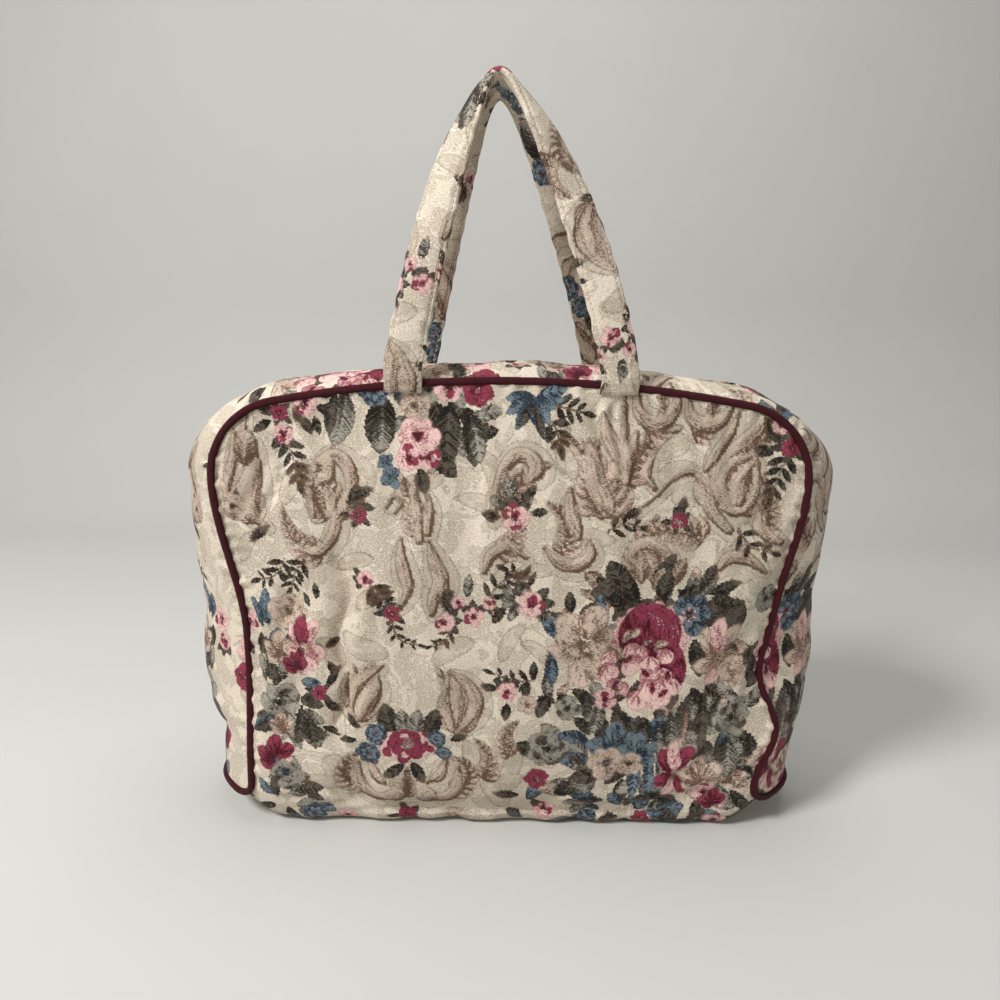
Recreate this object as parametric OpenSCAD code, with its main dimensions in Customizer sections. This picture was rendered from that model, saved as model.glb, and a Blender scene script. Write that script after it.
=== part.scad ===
// Soft toiletry bag in tapestry cloth: one panel for the front, base and back,
// a boxed gusset with a zip along its arched top, a piped seam and two strap handles.
// The origin is at the middle of the base. X runs across the bag, Y to the back and Z up.

/* [Body] */
// Height of the top seam at the middle
body_h = 279; // [265:1:295]
// Width across the top corners, seam to seam
top_w = 344; // [320:1:370]
// Width across the lower half, seam to seam
low_w = 318; // [305:1:330]
// Height at which the sides begin to widen
flare_z = 125; // [100:1:145]
// Radius of the two top corners, at the seam
corner_r = 45; // [35:1:55]
// Radius of the arched top edge, at the seam
arch_r = 730; // [600:10:900]
// Depth of the base, seam to seam
base_depth = 88; // [78:1:96]
// Depth between the side seams at the waist
waist_depth = 72; // [64:1:80]
// Depth between the top seams
top_depth = 88; // [80:1:96]
// Height of the waist, where the sides are pinched in most
waist_z = 108; // [95:1:120]
// How far the front and back swell out at their middles
crown = 15; // [8:1:22]
// Radius of the fold from the front or back into the base
fold_r = 10; // [8:0.5:13]

/* [Gusset] */
// How far the gusset bellies out at the waist
side_bulge = 41; // [32:1:46]
// How far the gusset bellies out where a top corner begins
corner_bulge = 29; // [22:1:34]
// How far the gusset bellies out at its rounded lower end
end_bulge = 30; // [22:1:34]
// How far the zip strips dome above the top seam
top_rise = 11; // [9:0.5:14]
// How far the strips sink from that dome to the zip
zip_dip = 6.5; // [4:0.5:8]
// Height of the gusset's lower end above the base
end_lift = 18; // [12:1:24]
// How far the right-hand seam waves in and out in its lower half
wave = 8; // [0:1:10]
// Height at which that wave stands out most
wave_z = 67; // [55:1:80]

/* [Cloth] */
// Thickness of the tapestry cloth with its interlining
cloth_t = 2; // [1.6:0.1:2.6]
// Thickness of the lining cloth
lining_t = 0.6; // [0.4:0.1:0.9]
// Depth of the soft upright crease in the front
crease = 5; // [0:0.5:8]
// Place of that crease across the front
crease_x = -98; // [-115:1:-80]

/* [Piping] */
// Thickness of the covered piping cord
piping_d = 4.6; // [3.6:0.2:5.4]

/* [Handles] */
// Distance between the middles of a handle's two ends
handle_span = 121; // [105:1:140]
// Width of the handle strap
handle_w = 22; // [18:1:26]
// Thickness of the padded handle strap
handle_t = 6.5; // [5:0.5:8]
// Thickness of a strap end where it is sewn flat
handle_end_t = 3.2; // [2.4:0.2:4.4]
// Height of a handle's top above the top seam
handle_rise = 170; // [145:1:190]
// Length of strap sewn to the panel below the piping
handle_tail = 15; // [11:1:20]
// How far the tops of the handles lean to the right, or to the left if below zero
handle_lean = -8; // [-14:1:14]
// Space between the two handles where they meet at the top
handle_part = 4; // [2:0.5:10]

/* [Zip] */
// Width of each zip tape
tape_w = 17; // [15:0.5:19]
// Thickness of a zip tape
tape_t = 0.8; // [0.6:0.1:1]
// Width of tape and chain left bare between the two strips
zip_gap = 22; // [19:0.5:25]
// Width of one row of the chain
chain_w = 2.5; // [2.2:0.1:3]
// Height of the chain above its tape
chain_h = 1.8; // [1.6:0.1:2.2]
// Pitch of the chain's coils
chain_pitch = 2.6; // [2:0.1:3.4]
// Slot along the middle of the chain, where the two rows part
chain_slot = 1.4; // [1.2:0.1:1.8]
// Length of the slider
slider_l = 13; // [11:0.5:15]
// Width of the slider
slider_w = 9.6; // [9:0.2:11]
// Length of the pull tab from its crossbar
pull_l = 27; // [20:1:34]
// Width of the pull tab
pull_w = 8; // [7:0.5:9]

/* [Hidden] */

// Colours
tapestry = "#d8ccb2";
burgundy = "#5e1424";
tape_colour = "#6b1f30";
brass = "#b08d4a";
lining_colour = "#cfc6b4";

// Counts of facets: up a side, round a top corner, along the arch, round the base fold, along the base
side_n = 10;
corner_n = 5;
arch_n = 14;
fold_n = 3;
base_n = 4;
piping_sides = 8;

// Clearances
seat_gap = 0.3;
tape_gap = 0.25;
run_gap = 0.3;

// Where the crease fades out, and the length of the seam's wave
crease_w = 13;
crease_low = 45;
crease_high = 165;
crease_fade = 40;
wave_len = 88;
wave_fade = 50;
// Share of the half-width from which the base's ends curve up to the gusset
lift_from = 0.8;
// Sharpness of the belly across the gusset: round on the sides, flat-topped under the zip
side_power = 2;
top_power = 4;

// The two top corners lie inside the arch and touch it and the sides
corner_x = top_w/2 - corner_r;
arch_z = body_h - arch_r;
corner_z = arch_z + sqrt(pow(arch_r - corner_r, 2) - pow(corner_x, 2));
arch_a = asin(corner_x/(arch_r - corner_r));
arch_end_x = arch_r*sin(arch_a);
n_top = 2*corner_n + arch_n;
seam_low = end_lift + fold_r;
// The cloth stops short of the seam line, which the piping cord fills
setback = piping_d/2 + seat_gap;

function mix(a, b, t) = a + (b - a)*t;
function smooth(t) = let (s = min(1, max(0, t))) s*s*(3 - 2*s);
function bell(t) = exp(-t*t);
function unit(v) = v/norm(v);
function flip_y(p) = [p.x, -p.y, p.z];

// The seam's outline

// Angle from upright of station i along the top, from the left side to the right side
function top_angle(i) = i <= corner_n ? mix(-90, -arch_a, i/corner_n)
    : i <= corner_n + arch_n ? mix(-arch_a, arch_a, (i - corner_n)/arch_n)
    : mix(arch_a, 90, (i - corner_n - arch_n)/corner_n);

// Station i along the top as [x, z], moved inwards by inset
function top_point(i, inset) = let (a = top_angle(i), r = corner_r - inset)
    i < corner_n ? [-corner_x + r*sin(a), corner_z + r*cos(a)]
    : i <= corner_n + arch_n ? [(arch_r - inset)*sin(a), arch_z + (arch_r - inset)*cos(a)]
    : [corner_x + r*sin(a), corner_z + r*cos(a)];

// Height of the top seam above a place across the bag
function top_height(x) = abs(x) < arch_end_x ? arch_z + sqrt(pow(arch_r, 2) - pow(x, 2))
    : corner_z + sqrt(max(0, pow(corner_r, 2) - pow(abs(x) - corner_x, 2)));

// Wave of the seam on one side, -1 for left and 1 for right
function seam_wave(side, z) = side > 0
    ? wave*cos(360*(z - wave_z)/wave_len)*bell((z - wave_z)/wave_fade) : 0;

// Distance of a side seam from the middle, by height
function seam_x(side, z) = mix(low_w/2, top_w/2, smooth((z - flare_z)/(corner_z - flare_z)))
    + seam_wave(side, z);

// Half of the depth between the seams, by height
function seam_y(z) = z < waist_z
    ? mix(base_depth, waist_depth, smooth((z - seam_low)/(waist_z - seam_low)))/2
    : mix(waist_depth, top_depth, smooth((z - waist_z)/(corner_z - waist_z)))/2;

// The main panel

// How far the base has curved up at a share u of the half-width
function base_lift(u) = end_lift*pow(max(0, (u - lift_from)/(1 - lift_from)), 2.5);

// Depth of the front's crease, which the back does not have
function crease_depth(x, z) = crease*bell((x - crease_x)/crease_w)
    *smooth((z - crease_low)/crease_fade)*(1 - smooth((z - crease_high)/crease_fade));

// Half-depth of the panel at a point of its face: full at the middle, drawn in at the seams
function panel_depth(x, z, low) =
    let (u = min(1, abs(x)/seam_x(sign(x), z)),
         v = min(1, max(0, (z - low)/(top_height(x) - low))),
         middle = mix(base_depth, top_depth, v)/2 + crown*sin(180*pow(v, 0.85)))
    mix(middle, seam_y(z), pow(u, 3));

// Point of the front, or of the back, in column i and row j from the base fold up
function face_point(i, j, inset, front) =
    let (t = top_point(i, inset), u = abs(t.x)/(top_w/2 - inset), low = base_lift(u) + fold_r,
         z = mix(low, t.y, j/side_n), side = t.x < 0 ? -1 : 1,
         x = t.x/(top_w/2 - inset)*(seam_x(side, z) - inset), y = panel_depth(x, z, low))
    [x, front ? crease_depth(x, z) - y : y, z];

// Point of the base and its two folds in column i, at depth y and height h above the base. The inset
// grows where the end's outline runs at a slant
function base_point(i, y, h, inset) =
    let (low = face_point(i, 0, inset, true), u = abs(top_point(i, inset).x)/(top_w/2 - inset),
         s = y/low.y, slant = 2*end_bulge*s/low.y*(1 - h/fold_r),
         belly = end_bulge*(1 - s*s) - inset*(sqrt(1 + slant*slant) - 1))
    [low.x + sign(low.x)*belly*pow(u, 8), y, base_lift(u) + h];

function fold_y(i, a, inset) = -face_point(i, 0, inset, true).y - fold_r + fold_r*cos(a);
function fold_h(a) = fold_r*(1 - sin(a));

// Rows of the panel from the front's top, under the base, to the back's top, with every row of
// the two faces or every other one
function panel_grid(inset, step) = [
    for (j = [side_n:-step:0]) [for (i = [0:n_top]) face_point(i, j, inset, true)],
    for (k = [1:fold_n]) let (a = 90*k/fold_n)
        [for (i = [0:n_top]) base_point(i, -fold_y(i, a, inset), fold_h(a), inset)],
    for (k = [1:base_n])
        [for (i = [0:n_top]) base_point(i, mix(-1, 1, k/base_n)*fold_y(i, 90, inset), 0, inset)],
    for (k = [fold_n - 1:-1:1]) let (a = 90*k/fold_n)
        [for (i = [0:n_top]) base_point(i, fold_y(i, a, inset), fold_h(a), inset)],
    for (j = [0:step:side_n]) [for (i = [0:n_top]) face_point(i, j, inset, false)]];

// The gusset

gusset_n = side_n + corner_n;

// Row r of a side gusset as [seam x, seam z, outward x, outward z, half-depth, belly, power]
function gusset_row(side, r, end_a) = r <= side_n
    ? let (z = mix(seam_low, corner_z, r/side_n),
           belly = z < waist_z ? mix(end_bulge, side_bulge, smooth((z - seam_low)/(waist_z - seam_low)))
               : mix(side_bulge, corner_bulge, smooth((z - waist_z)/(corner_z - waist_z))))
      [side*seam_x(side, z), z, side, 0, seam_y(z), belly - seam_wave(side, z), side_power]
    : let (t = (r - side_n)/corner_n, a = mix(90, end_a, t))
      [side*(corner_x + corner_r*sin(a)), corner_z + corner_r*cos(a), side*sin(a), cos(a),
       top_depth/2, mix(corner_bulge, top_rise, smooth(1.3*t)), mix(side_power, top_power, t)];

// Point of a gusset row at share s of its depth
function belly_point(row, s) = let (b = row[5]*(1 - pow(abs(s), row[6])))
    [row[0] + row[2]*b, row[4]*s, row[1] + row[3]*b];

// Share of the depth that a setback along the cloth takes up
function belly_inset(row, inset) = inset/norm([row[4], row[5]*row[6]]);

// Stations across the gusset: round its lower end, as [y, height above end_lift]
gusset_cols = 2*fold_n + base_n;
function end_station(c, inset) =
    let (r = fold_r - inset, flat = base_depth/2 - fold_r, k = min(c, gusset_cols - c),
         a = 90*min(1, k/fold_n), side = c < gusset_cols/2 ? -1 : 1)
    k <= fold_n ? [side*(flat + r*cos(a)), fold_r - r*sin(a)]
    : [mix(-flat, flat, (c - fold_n)/base_n), inset];

// The lower rows bend down to the rounded end, and rows above them run level
function gusset_point(side, r, c, inset, end_a) =
    let (row = gusset_row(side, r, end_a), e = end_station(c, inset), ease = min(1, r/3),
         even = mix(-1, 1, c/gusset_cols)*(1 - belly_inset(row, inset)),
         p = belly_point(row, mix(e.x/(base_depth/2), even, ease)))
    [p.x, p.y, p.z + (e.y - fold_r)*pow(1 - ease, 2)];

// The columns of a grid run so that its rows and columns turn the same way on both sides of the bag
function gusset_grid(side, inset, end_a) = [for (r = [0:gusset_n])
    [for (c = [0:gusset_cols]) gusset_point(side, r, side < 0 ? c : gusset_cols - c, inset, end_a)]];

// The zip's two strips: from the top seam up over the dome and down to the bare tape
strip_cols = 6;
// Width of the slope down to the zip, and the angle of arch over which the sinking starts at each end
dip_reach = 16;
dip_fade = 2.2;
function strip_dip(y, a) =
    zip_dip*(1 - smooth((y - zip_gap/2)/dip_reach))*smooth((strip_a - abs(a))/dip_fade);
strip_a = arch_a - atan(2*seat_gap/arch_r);
function strip_grid(side, inset) =
    let (row = gusset_row(1, gusset_n, arch_a), low = 1 - belly_inset(row, inset),
         high = zip_gap/top_depth)
    [for (i = [0:arch_n]) let (a = mix(-strip_a, strip_a, i/arch_n))
        [for (c = [0:strip_cols])
            let (t = side < 0 ? c/strip_cols : 1 - c/strip_cols, s = mix(low, high, t),
                 y = s*top_depth/2, r = arch_r + top_rise*(1 - pow(s, top_power)) - strip_dip(y, a))
            [r*sin(a), side*y, arch_z + r*cos(a)]]];

// Solids from grids of points

function grid_normal(g, r, c) =
    let (last_r = len(g) - 1, last_c = len(g[0]) - 1)
    unit(cross(g[r][min(c + 1, last_c)] - g[r][max(c - 1, 0)],
               g[min(r + 1, last_r)][c] - g[max(r - 1, 0)][c]));
function offset_grid(g, d) = [for (r = [0:len(g) - 1])
    [for (c = [0:len(g[0]) - 1]) g[r][c] + d*grid_normal(g, r, c)]];

// A closed sheet between two offsets of a grid, which grow towards the inside of the bag
module sheet(grid, from, to) {
    rows = len(grid);
    cols = len(grid[0]);
    n = rows*cols;
    outer = offset_grid(grid, from);
    inner = offset_grid(grid, to);
    quads = [
        for (r = [0:rows - 2], c = [0:cols - 2]) let (k = r*cols + c) [k, k + 1, k + cols + 1, k + cols],
        for (r = [0:rows - 2], c = [0:cols - 2])
            let (k = n + r*cols + c) [k, k + cols, k + cols + 1, k + 1],
        for (c = [0:cols - 2]) [c + 1, c, n + c, n + c + 1],
        for (c = [0:cols - 2]) let (k = (rows - 1)*cols + c) [k, k + 1, n + k + 1, n + k],
        for (r = [0:rows - 2]) let (k = r*cols) [k, k + cols, n + k + cols, n + k],
        for (r = [0:rows - 2]) let (k = r*cols + cols - 1) [k + cols, k, n + k, n + k + cols]];
    polyhedron([for (row = outer) each row, for (row = inner) each row],
        [for (q = quads) each [[q[0], q[1], q[2]], [q[0], q[2], q[3]]]], convexity = 12);
}

// A tube through rings of points: closed on itself, or with flat ends
module tube(rings, closed) {
    m = len(rings[0]);
    count = len(rings);
    function at(r, k) = (r % count)*m + (k % m);
    walls = [for (r = [0:closed ? count - 1 : count - 2], k = [0:m - 1])
        each [[at(r, k), at(r + 1, k + 1), at(r, k + 1)], [at(r, k), at(r + 1, k), at(r + 1, k + 1)]]];
    ends = closed ? [] : [[for (k = [0:m - 1]) k], [for (k = [m - 1:-1:0]) (count - 1)*m + k]];
    polyhedron([for (ring = rings) each ring], concat(ends, walls), convexity = 12);
}

// The piping cord

// The seam loop as [point, outward direction]: up the left of the front, over, down the right,
// under the right end to the back, and home the same way
function side_seam(side) = [for (r = [0:gusset_n]) let (row = gusset_row(side, r, arch_a))
    [[row[0], -row[4], row[1]], [row[2], 0, row[3]]]];
arch_seam = [for (i = [1:arch_n - 1]) let (p = top_point(corner_n + i, 0), a = top_angle(corner_n + i))
    [[p.x, -top_depth/2, p.y], [sin(a), 0, cos(a)]]];
function end_seam(side) = [for (c = [1:gusset_cols - 1])
    let (e = end_station(c, 0), p = belly_point(gusset_row(side, 0, arch_a), e.x/(base_depth/2)))
    [[p.x, p.y, end_lift + e.y], [side, 0, 0]]];
function reversed(list) = [for (i = [len(list) - 1:-1:0]) list[i]];
function to_back(seam) = [for (s = seam) [flip_y(s[0]), s[1]]];
front_seam = concat(side_seam(-1), arch_seam, reversed(side_seam(1)));
seam_loop = concat(front_seam, end_seam(1), reversed(to_back(front_seam)), reversed(end_seam(-1)));

function piping_rings() = let (n = len(seam_loop)) [for (i = [0:n - 1])
    let (p = seam_loop[i][0], out = seam_loop[i][1],
         along = unit(seam_loop[(i + 1) % n][0] - seam_loop[(i + n - 1) % n][0]),
         e1 = unit(out - (out*along)*along), e2 = cross(along, e1))
    [for (k = [0:piping_sides - 1]) let (a = 360*k/piping_sides)
        p + piping_d/2*(cos(a)*e1 + sin(a)*e2)]];

// The handles

// Places along one leg: the end of its tail, the piping, and the top of the loop
handle_leg_n = 16;
handle_x = handle_span/2;
seam_at_handle = top_height(handle_x);
tail_z = seam_at_handle - handle_tail;
tail_y = panel_depth(handle_x, tail_z, fold_r) + handle_end_t/2 + seat_gap;
over_y = top_depth/2 + piping_d/2 + handle_end_t/2 + seat_gap;
top_y = handle_w/2 + handle_part/2;
// How far the curve's control points stand from the seam and from the top of the loop
leg_lean = 13;
leg_reach = 75;
top_reach = 18;
lift_off = 8;

function bezier(a, b, c, d, t) = pow(1 - t, 3)*a + 3*pow(1 - t, 2)*t*b + 3*(1 - t)*t*t*c + t*t*t*d;

// Middle of the strap at share t of a leg, as [x across, z up] from the piping to the top
function leg_curve(t) = bezier([handle_x, lift_off], [handle_x - leg_lean, leg_reach],
    [top_reach, handle_rise - handle_t/2], [0, handle_rise - handle_t/2], t);

// Stations of one leg as [point, width direction, thickness direction, thickness, share of lean]
function leg_station(k) = k == 0
    ? [[handle_x, -tail_y, tail_z], [1, 0, 0], [0, 1, 0], handle_end_t, 0]
    : k == 1
    ? [[handle_x, -mix(tail_y, over_y, 0.75), mix(tail_z, seam_at_handle, 0.6)], [1, 0, 0], [0, 1, 0],
       handle_end_t, 0]
    : k == 2
    ? [[handle_x, -over_y, seam_at_handle], [1, 0, 0], [0, 1, 0], handle_end_t, 0]
    : let (t = (k - 3)/(handle_leg_n - 3), p = leg_curve(t),
           q = leg_curve(t + 0.001) - leg_curve(t - 0.001),
           turn = 90*smooth(t*0.5 + 0.5*t*t), in_plane = unit([q.y, 0, -q.x]),
           wide = cos(turn)*in_plane + sin(turn)*[0, 1, 0],
           thick = unit(cross([q.x, 0, q.y], wide)))
      [[p.x, -mix(over_y, top_y, smooth(t)), mix(seam_at_handle, body_h, smooth(t)) + p.y],
       wide, thick, mix(handle_end_t, handle_t, smooth(t*5)), smooth(t)];

// Rounded strap section: half-width and half-thickness shares of its ring of points
strap_ring = [[0.55, 1], [-0.55, 1], [-0.88, 0.62], [-1, 0], [-0.88, -0.62],
    [-0.55, -1], [0.55, -1], [0.88, -0.62], [1, 0], [0.88, 0.62]];

// Ring of a leg's station, on the right for side 1 and on the left for side -1
function strap_section(s, side) = [for (q = strap_ring)
    let (p = s[0] + q[0]*handle_w/2*s[1] + q[1]*s[3]/2*s[2])
    [side*p.x + handle_lean*s[4], p.y, p.z]];
function handle_rings() = concat(
    [for (k = [0:handle_leg_n]) strap_section(leg_station(k), 1)],
    [for (k = [handle_leg_n - 1:-1:0]) strap_section(leg_station(k), -1)]);

// The zip

// Radii from the arch's centre: under the tape, the tape's face and the chain's crown
tape_out = chain_slot/2 + tape_w;
under_strip = top_rise*(1 - pow(zip_gap/top_depth, top_power)) - zip_dip - cloth_t;
tape_r = arch_r + under_strip - tape_gap - tape_t;
chain_r = tape_r + tape_t;
// Height of the chain's core between its ridges, as a share of the chain
core_share = 0.55;
// Gap between the tape and what is sewn or crimped on it
sewn_gap = seat_gap/4;
// Stops: length along the tape, height above the chain and sideways shift from the slot
stop_l = 3;
stop_over = 0.4;
stop_shift = 0.2;
// The slider stops far enough from the gusset for the pull tab to lie flat at either end
pull_room = 1.5;
slider_a = strip_a - asin((pull_l + pull_room)/tape_r);
chain_a = slider_a + asin((slider_l/2 + seat_gap)/tape_r);

// Places a piece at an angle along the zip's arch, with its own Z pointing out from the arch
module on_arch(a) { translate([0, 0, arch_z]) rotate([0, a, 0]) translate([0, 0, tape_r]) children(); }

// A band bent along the arch between two angles, from radius r and between two depths
module arch_band(r, t, y0, y1, a)
    translate([0, 0, arch_z]) rotate([-90, 0, 0]) rotate([0, 0, -90 - a])
        rotate_extrude(angle = 2*a, $fn = 360) translate([r, y0]) square([t, y1 - y0]);

module zip_tape(side) {
    y0 = side > 0 ? chain_slot/2 : -tape_out;
    color(tape_colour) arch_band(tape_r, tape_t, y0, y0 + tape_w, strip_a);
}
module zip_tape_front() zip_tape(-1);
module zip_tape_back() zip_tape(1);

// Ridged row of the chain: the coils stand up from a low core along the tape's inner edge
module zip_chain(side) {
    pitch_a = chain_pitch/chain_r*180/PI;
    count = floor(2*chain_a/pitch_a) - 1;
    start = -count*pitch_a/2 + (side > 0 ? pitch_a/2 : 0);
    core_h = chain_h*core_share;
    base_r = chain_r + sewn_gap;
    // Shares of the pitch where the ridge starts, stands and ends
    ridge = [0, 0.12, 0.2, 0.5, 0.58, 0.7];
    rise = [core_h, core_h, chain_h, chain_h, core_h, core_h];
    tops = [for (n = [0:count - 1], k = [0:5])
        let (a = start + (n + ridge[k])*pitch_a, r = chain_r + rise[k]) [r*sin(a), r*cos(a)]];
    feet = [for (n = [count:-1:0])
        let (a = start + min(n, count - 1 + ridge[5])*pitch_a) [base_r*sin(a), base_r*cos(a)]];
    y1 = side > 0 ? chain_slot/2 + chain_w : -chain_slot/2;
    color(tape_colour) translate([0, y1, arch_z]) rotate([90, 0, 0])
        linear_extrude(chain_w) polygon(concat(tops, feet));
}
module zip_chain_front() zip_chain(-1);
module zip_chain_back() zip_chain(1);

// One crimped stop on the tape
module stop_block(y, w) translate([-stop_l/2, y, tape_t + sewn_gap])
    cube([stop_l, w, chain_h + stop_over]);

module zip_top_stops() color(brass) on_arch(chain_a + asin((stop_l/2 + seat_gap)/tape_r)) {
    stop_block(chain_slot/2 + stop_shift, chain_w);
    stop_block(-chain_slot/2 - stop_shift - chain_w, chain_w);
}

module zip_bottom_stop() color(brass) on_arch(-chain_a - asin((stop_l/2 + seat_gap)/tape_r))
    stop_block(-chain_slot/2 - chain_w, chain_slot + 2*chain_w);

// Heights on the slider above the underside of the tape
plate_t = 1.1;
chain_top = tape_t + chain_h;
plate_low = chain_top + run_gap;
plate_top = plate_low + plate_t;
pull_t = 1.4;
bar_z = plate_top + run_gap + pull_t/2;
bridge_low = bar_z + pull_t/2 + run_gap;
bridge_t = 1;
bridge_l = 8;
bridge_w = 2.2;
bridge_post = 1.4;
// Edge flanges: thickness, setback from the tail and from the shoulders
flange_t = 1;
flange_tail = 0.4;
flange_nose = 3;
// Width of the slider's tail, and the sideways stretch of its shoulders
tail_share = 0.745;
shoulder_share = 0.6;
tail_l = 2;
// The post between the plates: its start and its length as shares of the slider
post_from = 0.12;
post_share = 0.22;
// The pull's hole and the room its window leaves in front of the bridge
hole_d = 3;
window_room = 2.4;
arm_lap = 1;

// Outline of a slider plate: broad at the shoulders where the rows part, narrower at the tail
module plate_outline() {
    hull() {
        translate([slider_l/2 - slider_w*shoulder_share/2, 0])
            scale([shoulder_share, 1]) circle(d = slider_w, $fn = 32);
        translate([-slider_l/2 + tail_l/2, 0]) square([tail_l, slider_w*tail_share], center = true);
    }
}

// Slider: two plates held by a thin post in the slot, edge flanges and a bridge for the pull
module zip_slider() color(brass) on_arch(slider_a) {
    post_w = chain_slot - 2*run_gap;
    translate([0, 0, -run_gap - plate_t]) linear_extrude(plate_t) plate_outline();
    translate([0, 0, plate_low]) linear_extrude(plate_t) plate_outline();
    translate([slider_l*post_from, -post_w/2, -run_gap - plate_t/2])
        cube([slider_l*post_share, post_w, plate_low + run_gap + plate_t]);
    for (y = [-slider_w/2, slider_w/2 - flange_t])
        translate([-slider_l/2 + flange_tail, y, tape_t + run_gap])
            cube([slider_l - flange_tail - flange_nose, flange_t, plate_low - tape_t]);
    for (end = [-1, 1])
        translate([end*(bridge_l - bridge_post)/2 - bridge_post/2, -bridge_w/2, plate_top - plate_t/2])
            cube([bridge_post, bridge_w, bridge_low + bridge_t - plate_top + plate_t/2]);
    translate([-bridge_l/2, -bridge_w/2, bridge_low]) cube([bridge_l, bridge_w, bridge_t]);
}

// Pull tab: a round crossbar under the bridge, two arms beside it and a leaf with a rounded end
module zip_pull() color(brass) on_arch(slider_a) translate([0, 0, bar_z]) {
    arm_y = bridge_w/2 + run_gap;
    window_l = bridge_l/2 + window_room;
    arm_w = pull_w/2 - arm_y;
    rotate([90, 0, 0]) cylinder(d = pull_t, h = pull_w, center = true, $fn = 32);
    for (y = [arm_y, -arm_y - arm_w])
        translate([-window_l - arm_lap, y, -pull_t/2]) cube([window_l + arm_lap, arm_w, pull_t]);
    difference() {
        translate([0, 0, -pull_t/2]) linear_extrude(pull_t) union() {
            translate([-pull_l + pull_w/2, -pull_w/2]) square([pull_l - pull_w/2 - window_l, pull_w]);
            translate([-pull_l + pull_w/2, 0]) circle(d = pull_w, $fn = 48);
        }
        translate([-pull_l + pull_w/2, 0, -pull_t]) cylinder(d = hole_d, h = 2*pull_t, $fn = 32);
    }
}

// The sewn pieces

// A gusset stops just short of the zip strips
gusset_end_a = arch_a + asin(seat_gap/corner_r);
// The lining stops further from the seam and lies loosely inside the cloth
lining_inset = setback + 4;
lining_gap = 1.2;
lining_from = cloth_t + lining_gap;
lining_to = lining_from + lining_t;

module main_panel() color(tapestry) sheet(panel_grid(setback, 1), 0, cloth_t);
module gusset(side) color(tapestry) sheet(gusset_grid(side, setback, gusset_end_a), 0, cloth_t);
module gusset_left() gusset(-1);
module gusset_right() gusset(1);
module zip_strip_front() color(tapestry) sheet(strip_grid(-1, setback), 0, cloth_t);
module zip_strip_back() color(tapestry) sheet(strip_grid(1, setback), 0, cloth_t);
module piping() color(burgundy) tube(piping_rings(), true);
module handle_front() color(tapestry) tube(handle_rings(), false);
module handle_back() color(tapestry) mirror([0, 1, 0]) tube(handle_rings(), false);
module lining() color(lining_colour) sheet(panel_grid(lining_inset, 2), lining_from, lining_to);
module side_lining(side) color(lining_colour)
    sheet(gusset_grid(side, lining_inset, gusset_end_a), lining_from, lining_to);
module lining_left() side_lining(-1);
module lining_right() side_lining(1);

main_panel();
gusset_left();
gusset_right();
zip_strip_front();
zip_strip_back();
piping();
handle_front();
handle_back();
zip_tape_front();
zip_tape_back();
zip_chain_front();
zip_chain_back();
zip_top_stops();
zip_bottom_stop();
zip_slider();
zip_pull();
lining();
lining_left();
lining_right();
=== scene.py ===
"""Toiletry bag in tapestry cloth: a padded panel, piped seams, two strap handles and a sunk zip.

Sizes are held in metres, and the shape code works in millimetres in the frame of the solids.
"""

import math

import bpy
import numpy as np
from mathutils import Matrix, Vector


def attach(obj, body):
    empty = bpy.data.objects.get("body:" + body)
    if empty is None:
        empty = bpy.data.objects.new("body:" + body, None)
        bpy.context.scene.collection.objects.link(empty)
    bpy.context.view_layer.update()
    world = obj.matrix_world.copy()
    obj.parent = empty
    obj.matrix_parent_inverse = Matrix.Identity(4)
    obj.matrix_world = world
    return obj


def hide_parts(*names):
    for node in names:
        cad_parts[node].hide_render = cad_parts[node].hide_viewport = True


bl_info = {
    "name": "Tapestry toiletry bag",
    "version": (1, 0, 0),
    "blender": (4, 5, 0),
    "location": "View3D > Sidebar > Bag",
    "description": "Builds a toiletry bag in tapestry cloth over its solids",
    "category": "Object",
}

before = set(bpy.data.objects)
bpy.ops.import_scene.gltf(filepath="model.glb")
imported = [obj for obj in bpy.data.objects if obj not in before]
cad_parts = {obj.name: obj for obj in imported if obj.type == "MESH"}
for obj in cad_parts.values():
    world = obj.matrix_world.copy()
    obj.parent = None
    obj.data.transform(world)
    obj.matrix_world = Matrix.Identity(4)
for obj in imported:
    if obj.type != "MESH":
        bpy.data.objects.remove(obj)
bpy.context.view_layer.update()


# --- Sizes and colours ---


def length(name, description, mm):
    """A length that shows in the scene's units."""
    return bpy.props.FloatProperty(
        name=name, description=description, default=mm / 1000, unit="LENGTH", precision=4
    )


def colour(name, description, hexa):
    """A colour written as six hex digits of display values."""
    rgb = [int(hexa[k : k + 2], 16) / 255 for k in (0, 2, 4)]
    lin = [c / 12.92 if c <= 0.04045 else ((c + 0.055) / 1.055) ** 2.4 for c in rgb]
    return bpy.props.FloatVectorProperty(
        name=name, description=description, default=(*lin, 1.0), size=4, min=0, max=1,
        subtype="COLOR",
    )


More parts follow.
